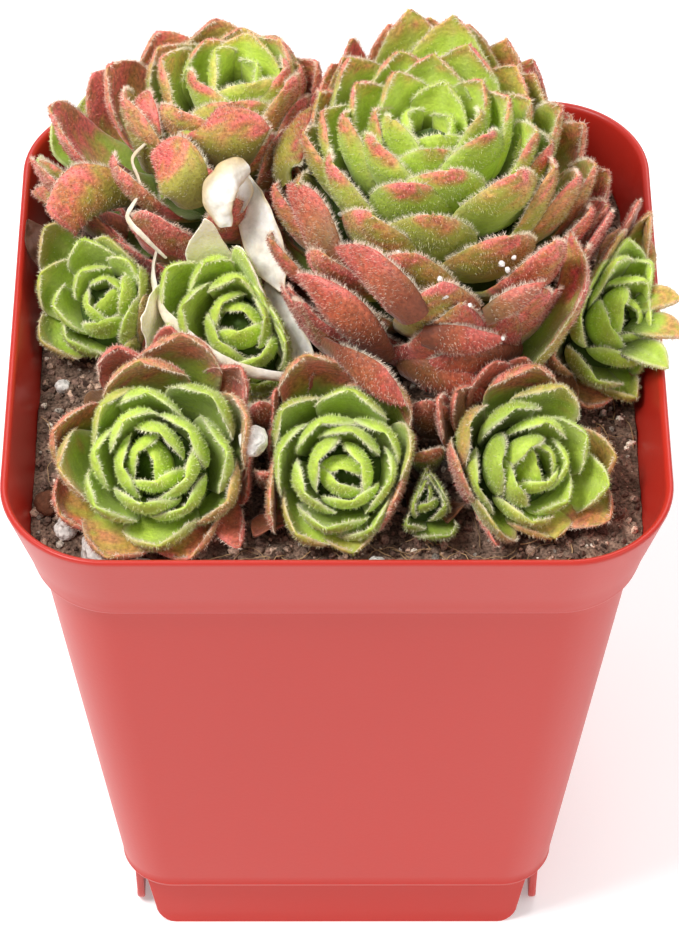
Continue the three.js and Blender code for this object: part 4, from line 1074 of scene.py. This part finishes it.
def make_rosette(name, seed):
    plan = ROSETTES[name]
    limits = limits_of(name)
    turn, base = frame_of(plan), np.array(plan["base"])
    big = plan["size"] > BIG
    rows, cols = BIG_GRID if big else SMALL_GRID
    draws = np.random.default_rng(100 + seed)
    body, fuzz = Pile(), Pile()
    s = LEAF_START + (1 - LEAF_START) * np.sin(np.pi / 2 * np.linspace(0, 1, rows)) ** 0.92
    t = np.sin(np.linspace(-np.pi / 2, np.pi / 2, cols))
    S, T = np.meshgrid(s, t, indexing="ij")
    for i, rule, dry in leaves_of(name, seed):
        if dry:
            rule["length"] *= 1.14
            rule["half"] *= 1.1
        rule["round"] += 0.16 if big else 0.06
        if big and rule["age"] <= 1:
            rule["half"] *= lerp((1.0, 0.72), float(step(rule["age"], 0.3, 0.7)))
        wave = (BIG_WAVE if big else SMALL_WAVE) * rule["length"] * (DRY_WAVE if dry else 1.0)
        P = leaf_points(rule, S, T, wave, 6 * draw(seed, i * 3 + 1)) @ turn.T + base
        P = press(P, limits, rule["thick"] / 2)
        if dry:
            P = P + 0.3 * noise(P, 0.8, seed + i)[..., None] * unit(P - base)
        dress_leaf(name, rule, i, seed, P, S, T, dry, body, fuzz, draws)
    for k, (path, face, half, age) in enumerate(FREE_LEAVES.get(name, ())):
        rule = dict(mean_rule(plan, age), length=half * 4)
        P = free_leaf(path, face, half, S, T)
        dress_leaf(name, rule, FREE_SEED + k, seed, P, S, T, False, body, fuzz, draws, 0.1)
    points, faces = core(plan, limits, turn, base)
    height = ((points - base) @ turn[:, 2])[:, None] / plan["size"]
    bark = mix(PALETTE["spent"], PALETTE["wine"], 0.4) * 0.35
    bark = mix(bark, PALETTE["deep"] * 0.4, step(height, 0.1, 0.3))
    body.add(points, quads_and_tris(faces), bark * (1 + 0.4 * noise(points, 0.5, seed)[:, None]))
    leaves = body.piece(name + "_leaves", LEAF)
    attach(leaves, "root")
    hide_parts(name)
    hair = fuzz.piece(name + "_hairs", HAIR, False)
    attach(hair, "root")


def sheet(P, thick):
    """A closed thin sheet around a grid of points, as flat lists of points and faces."""
    half = normals_of(P) * (thick[..., None] / 2)
    ring = around(P - half, P + half)
    return ring.reshape(-1, 3), tube_faces(P.shape[0], ring.shape[1])


def make_withered():
    S, T = sheet_grid(15, 9, LEAF_START)
    pile = Pile()
    for k, (path, half) in enumerate(WITHERED):
        P = free_leaf(path, (0.2 * math.sin(5 * k), 0.3, 1.0), half, S, T)
        P = P + 0.35 * noise(P, 0.7, 80 + k)[..., None] * np.array((0.3, 0.3, 1.0))
        points, faces = sheet(P, 0.5 * np.sqrt(np.maximum(0.02, 1 - T * T)))
        patch = noise(points, 0.7, 90 + k)[:, None]
        colour = mix(PALETTE["brown"], PALETTE["wine"], np.clip(0.4 + patch, 0, 1))
        colour = mix(colour, PALETTE["spent"], 0.4 + 0.5 * draw(k, 5))
        pile.add(points, faces, colour * (0.5 + 0.4 * draw(k, 9)) * (1 + 0.3 * patch))
    leaves = pile.piece("withered_leaves", LEAF)
    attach(leaves, "root")


def make_ribbon(name, path, toward, half, seed):
    S, T = sheet_grid(60, 9)
    P = smooth_path(path, S)
    across, up = across_and_up(unit(np.array(toward) - P), unit(np.gradient(P, axis=0)))
    taper = np.sin(np.pi * np.clip(0.06 + 0.88 * S, 0, 1)) ** 0.45
    side = half * taper * (1 + 0.15 * noise(P, 0.6, seed))
    P = P + across * (side * T)[..., None] + up * (0.35 * side * T * T)[..., None]
    P = P + up * (0.12 * half * noise(P, 0.8, seed + 1) + 0.05 * noise(P, 2.2, seed + 2))[..., None]
    points, faces = sheet(P, 0.24 * np.sqrt(np.maximum(0.02, 1 - T ** 4)))
    wide, far = around(T, T).reshape(-1, 1), around(S, S).reshape(-1, 1)
    if half > FLAP_HALF:
        tan = 0.75 * step(wide + 0.3 * (0.5 - far), 0.1, 0.7)
        colour = mix(pale(points, seed, np.abs(wide)), lin(196, 168, 112), tan)
    else:
        colour = pale(points, seed, 0.96 if half < THREAD_HALF else 0.88)
    ribbon = mesh_piece(name, points, faces, DRY, True, colour)
    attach(ribbon, "root")


def pale(points, seed, edge):
    """Papery white with tan shading toward the edge."""
    share = np.clip(0.08 + 0.35 * noise(points, 0.6, seed)[:, None] + 0.7 * step(edge, 0.75, 1.0), 0, 1)
    return mix(lin(254, 251, 242), lin(228, 206, 164), share)


# A perlite grain and painted highlights, as white blobs on the leaves.
def make_grain_and_glint_specks():
    p, f = blob(2)
    pile = Pile()
    for k, (x, y, z, size) in enumerate(GRAIN_AND_GLINT_SPECKS):
        q = p * (1 + 0.3 * noise(p, 1.7, k)[:, None]) * size + (x, y, z)
        pile.add(q, f, np.tile(lin(250, 244, 238), (len(q), 1)))
    specks = pile.piece("white_specks_and_painted_glints", GRAIN)
    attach(specks, "root")


def core(plan, limits, turn, base):
    """The stem and the body that the leaves stand on."""
    radius = 0.13 * plan["size"] + 0.6
    slimmer = 0.14 if plan["size"] > BIG else 0.0
    profile = [(0.01, -0.5), (radius, -0.5)]
    for age in (1, 0.8, 0.6, 0.4, 0.2, 0.05):
        share = CORE_SHARE - slimmer * float(step(age, 0.5, 1.0))
        p = leaf_points(mean_rule(plan, age), np.array(share), np.array(0.0))
        profile.append((p[0], p[2]))
    profile.append((0.01, profile[-1][1] + profile[-1][0]))
    a = np.arange(CORE_SIDES) / CORE_SIDES * TAU
    wheel = np.stack([np.cos(a), np.sin(a), np.zeros(CORE_SIDES)], 1)
    rings = [press((r * wheel + (0, 0, z)) @ turn.T + base, limits, 0) for r, z in profile]
    bottom = base + (radius * wheel + (0, 0, -4.0))
    p1, f1 = skin(rings)
    p2, f2 = skin([bottom, bottom + (0, 0, 5.5)])
    return np.concatenate([p1, p2]), np.concatenate([f1, f2 + len(p1)])


def make_dry_leaf(name, shape, seed):
    dead = name == "dead_leaf"
    root, tip = np.array(shape["root"]), np.array(shape["tip"])
    across, up = across_and_up(shape["face"], unit(tip - root))
    S, T = sheet_grid(30, 15)
    swell = 0.6 + 0.4 * np.sin(np.pi * np.minimum(1, S / 0.9))
    ends = np.minimum(1, (S + 0.02) / 0.2) ** 0.6 * np.minimum(1, (1.001 - S) / 0.25) ** 0.6
    half = (1.0 if dead else 1.25) * shape["half"] * swell * ends
    P = root + (tip - root) * S[..., None] + up * (4 * shape["bow"] * S * (1 - S))[..., None]
    P = P + across * (half * T)[..., None]
    curl = 0.35 * T ** 2 + 0.3 * np.sin(7 * S + seed) * T
    P = P + up * (curl * 0.8)[..., None]
    P = P + up * (0.35 * noise(P, 0.7, seed) + 0.15 * noise(P, 1.9, seed + 1))[..., None]
    points, faces = sheet(P, np.maximum(0.3 * np.sqrt(np.maximum(0, 1 - T ** 4)), 0.02))
    if dead:
        colour = lin(88, 52, 34) * (0.65 + 0.5 * (0.5 + 0.5 * noise(points, 1.1, 5)))[:, None]
    else:
        colour = pale(points, seed, np.abs(around(T, T)).reshape(-1, 1))
    leaf = mesh_piece(name + "_papery", points, faces, DRY, True, colour)
    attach(leaf, "root")
    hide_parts(name)


# Camera, light, floor. The camera's rows are its ways to the right, up and back, its place is in metres.
CAMERA_ROWS = ((0.99999836, -0.00161675, 0.00081233), (0.0006401, 0.736039, 0.67693883),
               (-0.00169235, -0.6769372, 0.73603883))
CAMERA_PLACE, SENSOR_WIDTH, LENS = (-0.000549, -0.388792, 0.491188), 36, 155.92
# Lamps: name, place, size and power.
LAMPS = (("key", (-0.30, -0.16, 0.66), 0.22, 4.0), ("fill", (0.45, -0.30, 0.42), 0.45, 0.9),
         ("back", (0.10, 0.50, 0.55), 0.40, 1.6))
LAMP_TARGET, SKY_STRENGTH, FLOOR_GLOW, FLOOR_REACH = Vector((0, 0, 0.09)), 0.54, 0.28, 6000


def make_camera():
    data = bpy.data.cameras.new("camera")
    camera = bpy.data.objects.new("camera", data)
    scene = bpy.context.scene
    scene.collection.objects.link(camera)
    scene.camera = camera
    data.sensor_width = SENSOR_WIDTH
    data.lens = LENS
    data.clip_start = 0.01
    camera.matrix_world = Matrix.Translation(CAMERA_PLACE) @ Matrix(CAMERA_ROWS).transposed().to_4x4()


def area_light(name, place, size, power):
    data = bpy.data.lights.new(name, "AREA")
    data.size = size
    data.energy = power
    lamp = bpy.data.objects.new(name, data)
    lamp.location = place
    lamp.rotation_mode = "QUATERNION"
    lamp.rotation_quaternion = (LAMP_TARGET - Vector(place)).to_track_quat("-Z", "Y")
    bpy.context.scene.collection.objects.link(lamp)


def make_stage():
    m, _nt, b = clouded_material("floor_white", (0.9, 0.9, 0.9), 30, (0.995, 1.005), 0.8, 0.1)
    b.inputs["Emission Color"].default_value = (1, 1, 1, 1)
    b.inputs["Emission Strength"].default_value = FLOOR_GLOW
    points = [(x * FLOOR_REACH, y * FLOOR_REACH, 0) for x, y in ((-1, -1), (1, -1), (1, 1), (-1, 1))]
    floor = mesh_piece("floor", points, [(0, 1, 2, 3)], m, False)
    world = bpy.data.worlds.new("studio")
    bpy.context.scene.world = world
    world.use_nodes = True
    sky = world.node_tree.nodes["Background"]
    sky.inputs["Color"].default_value = (1, 1, 1, 1)
    sky.inputs["Strength"].default_value = SKY_STRENGTH
    for lamp in LAMPS:
        area_light(*lamp)
    bpy.context.scene.view_settings.view_transform = "Standard"


DRY_SEED, RIBBON_SEED = 50, 70

make_camera()
make_stage()
make_pot(plastic())
make_soil()
make_crumbs()
make_roots()
for number, (name, numbers) in enumerate(GRAINS.items()):
    make_grain(name, numbers, number + 1)
for number, name in enumerate(ROSETTES):
    make_rosette(name, number + 1)
for number, (name, shape) in enumerate(DRY_LEAVES.items()):
    make_dry_leaf(name, shape, number + DRY_SEED)
make_withered()
for number, (name, path, toward, half) in enumerate(RIBBONS):
    make_ribbon(name, path, toward, half, number + RIBBON_SEED)
make_grain_and_glint_specks()
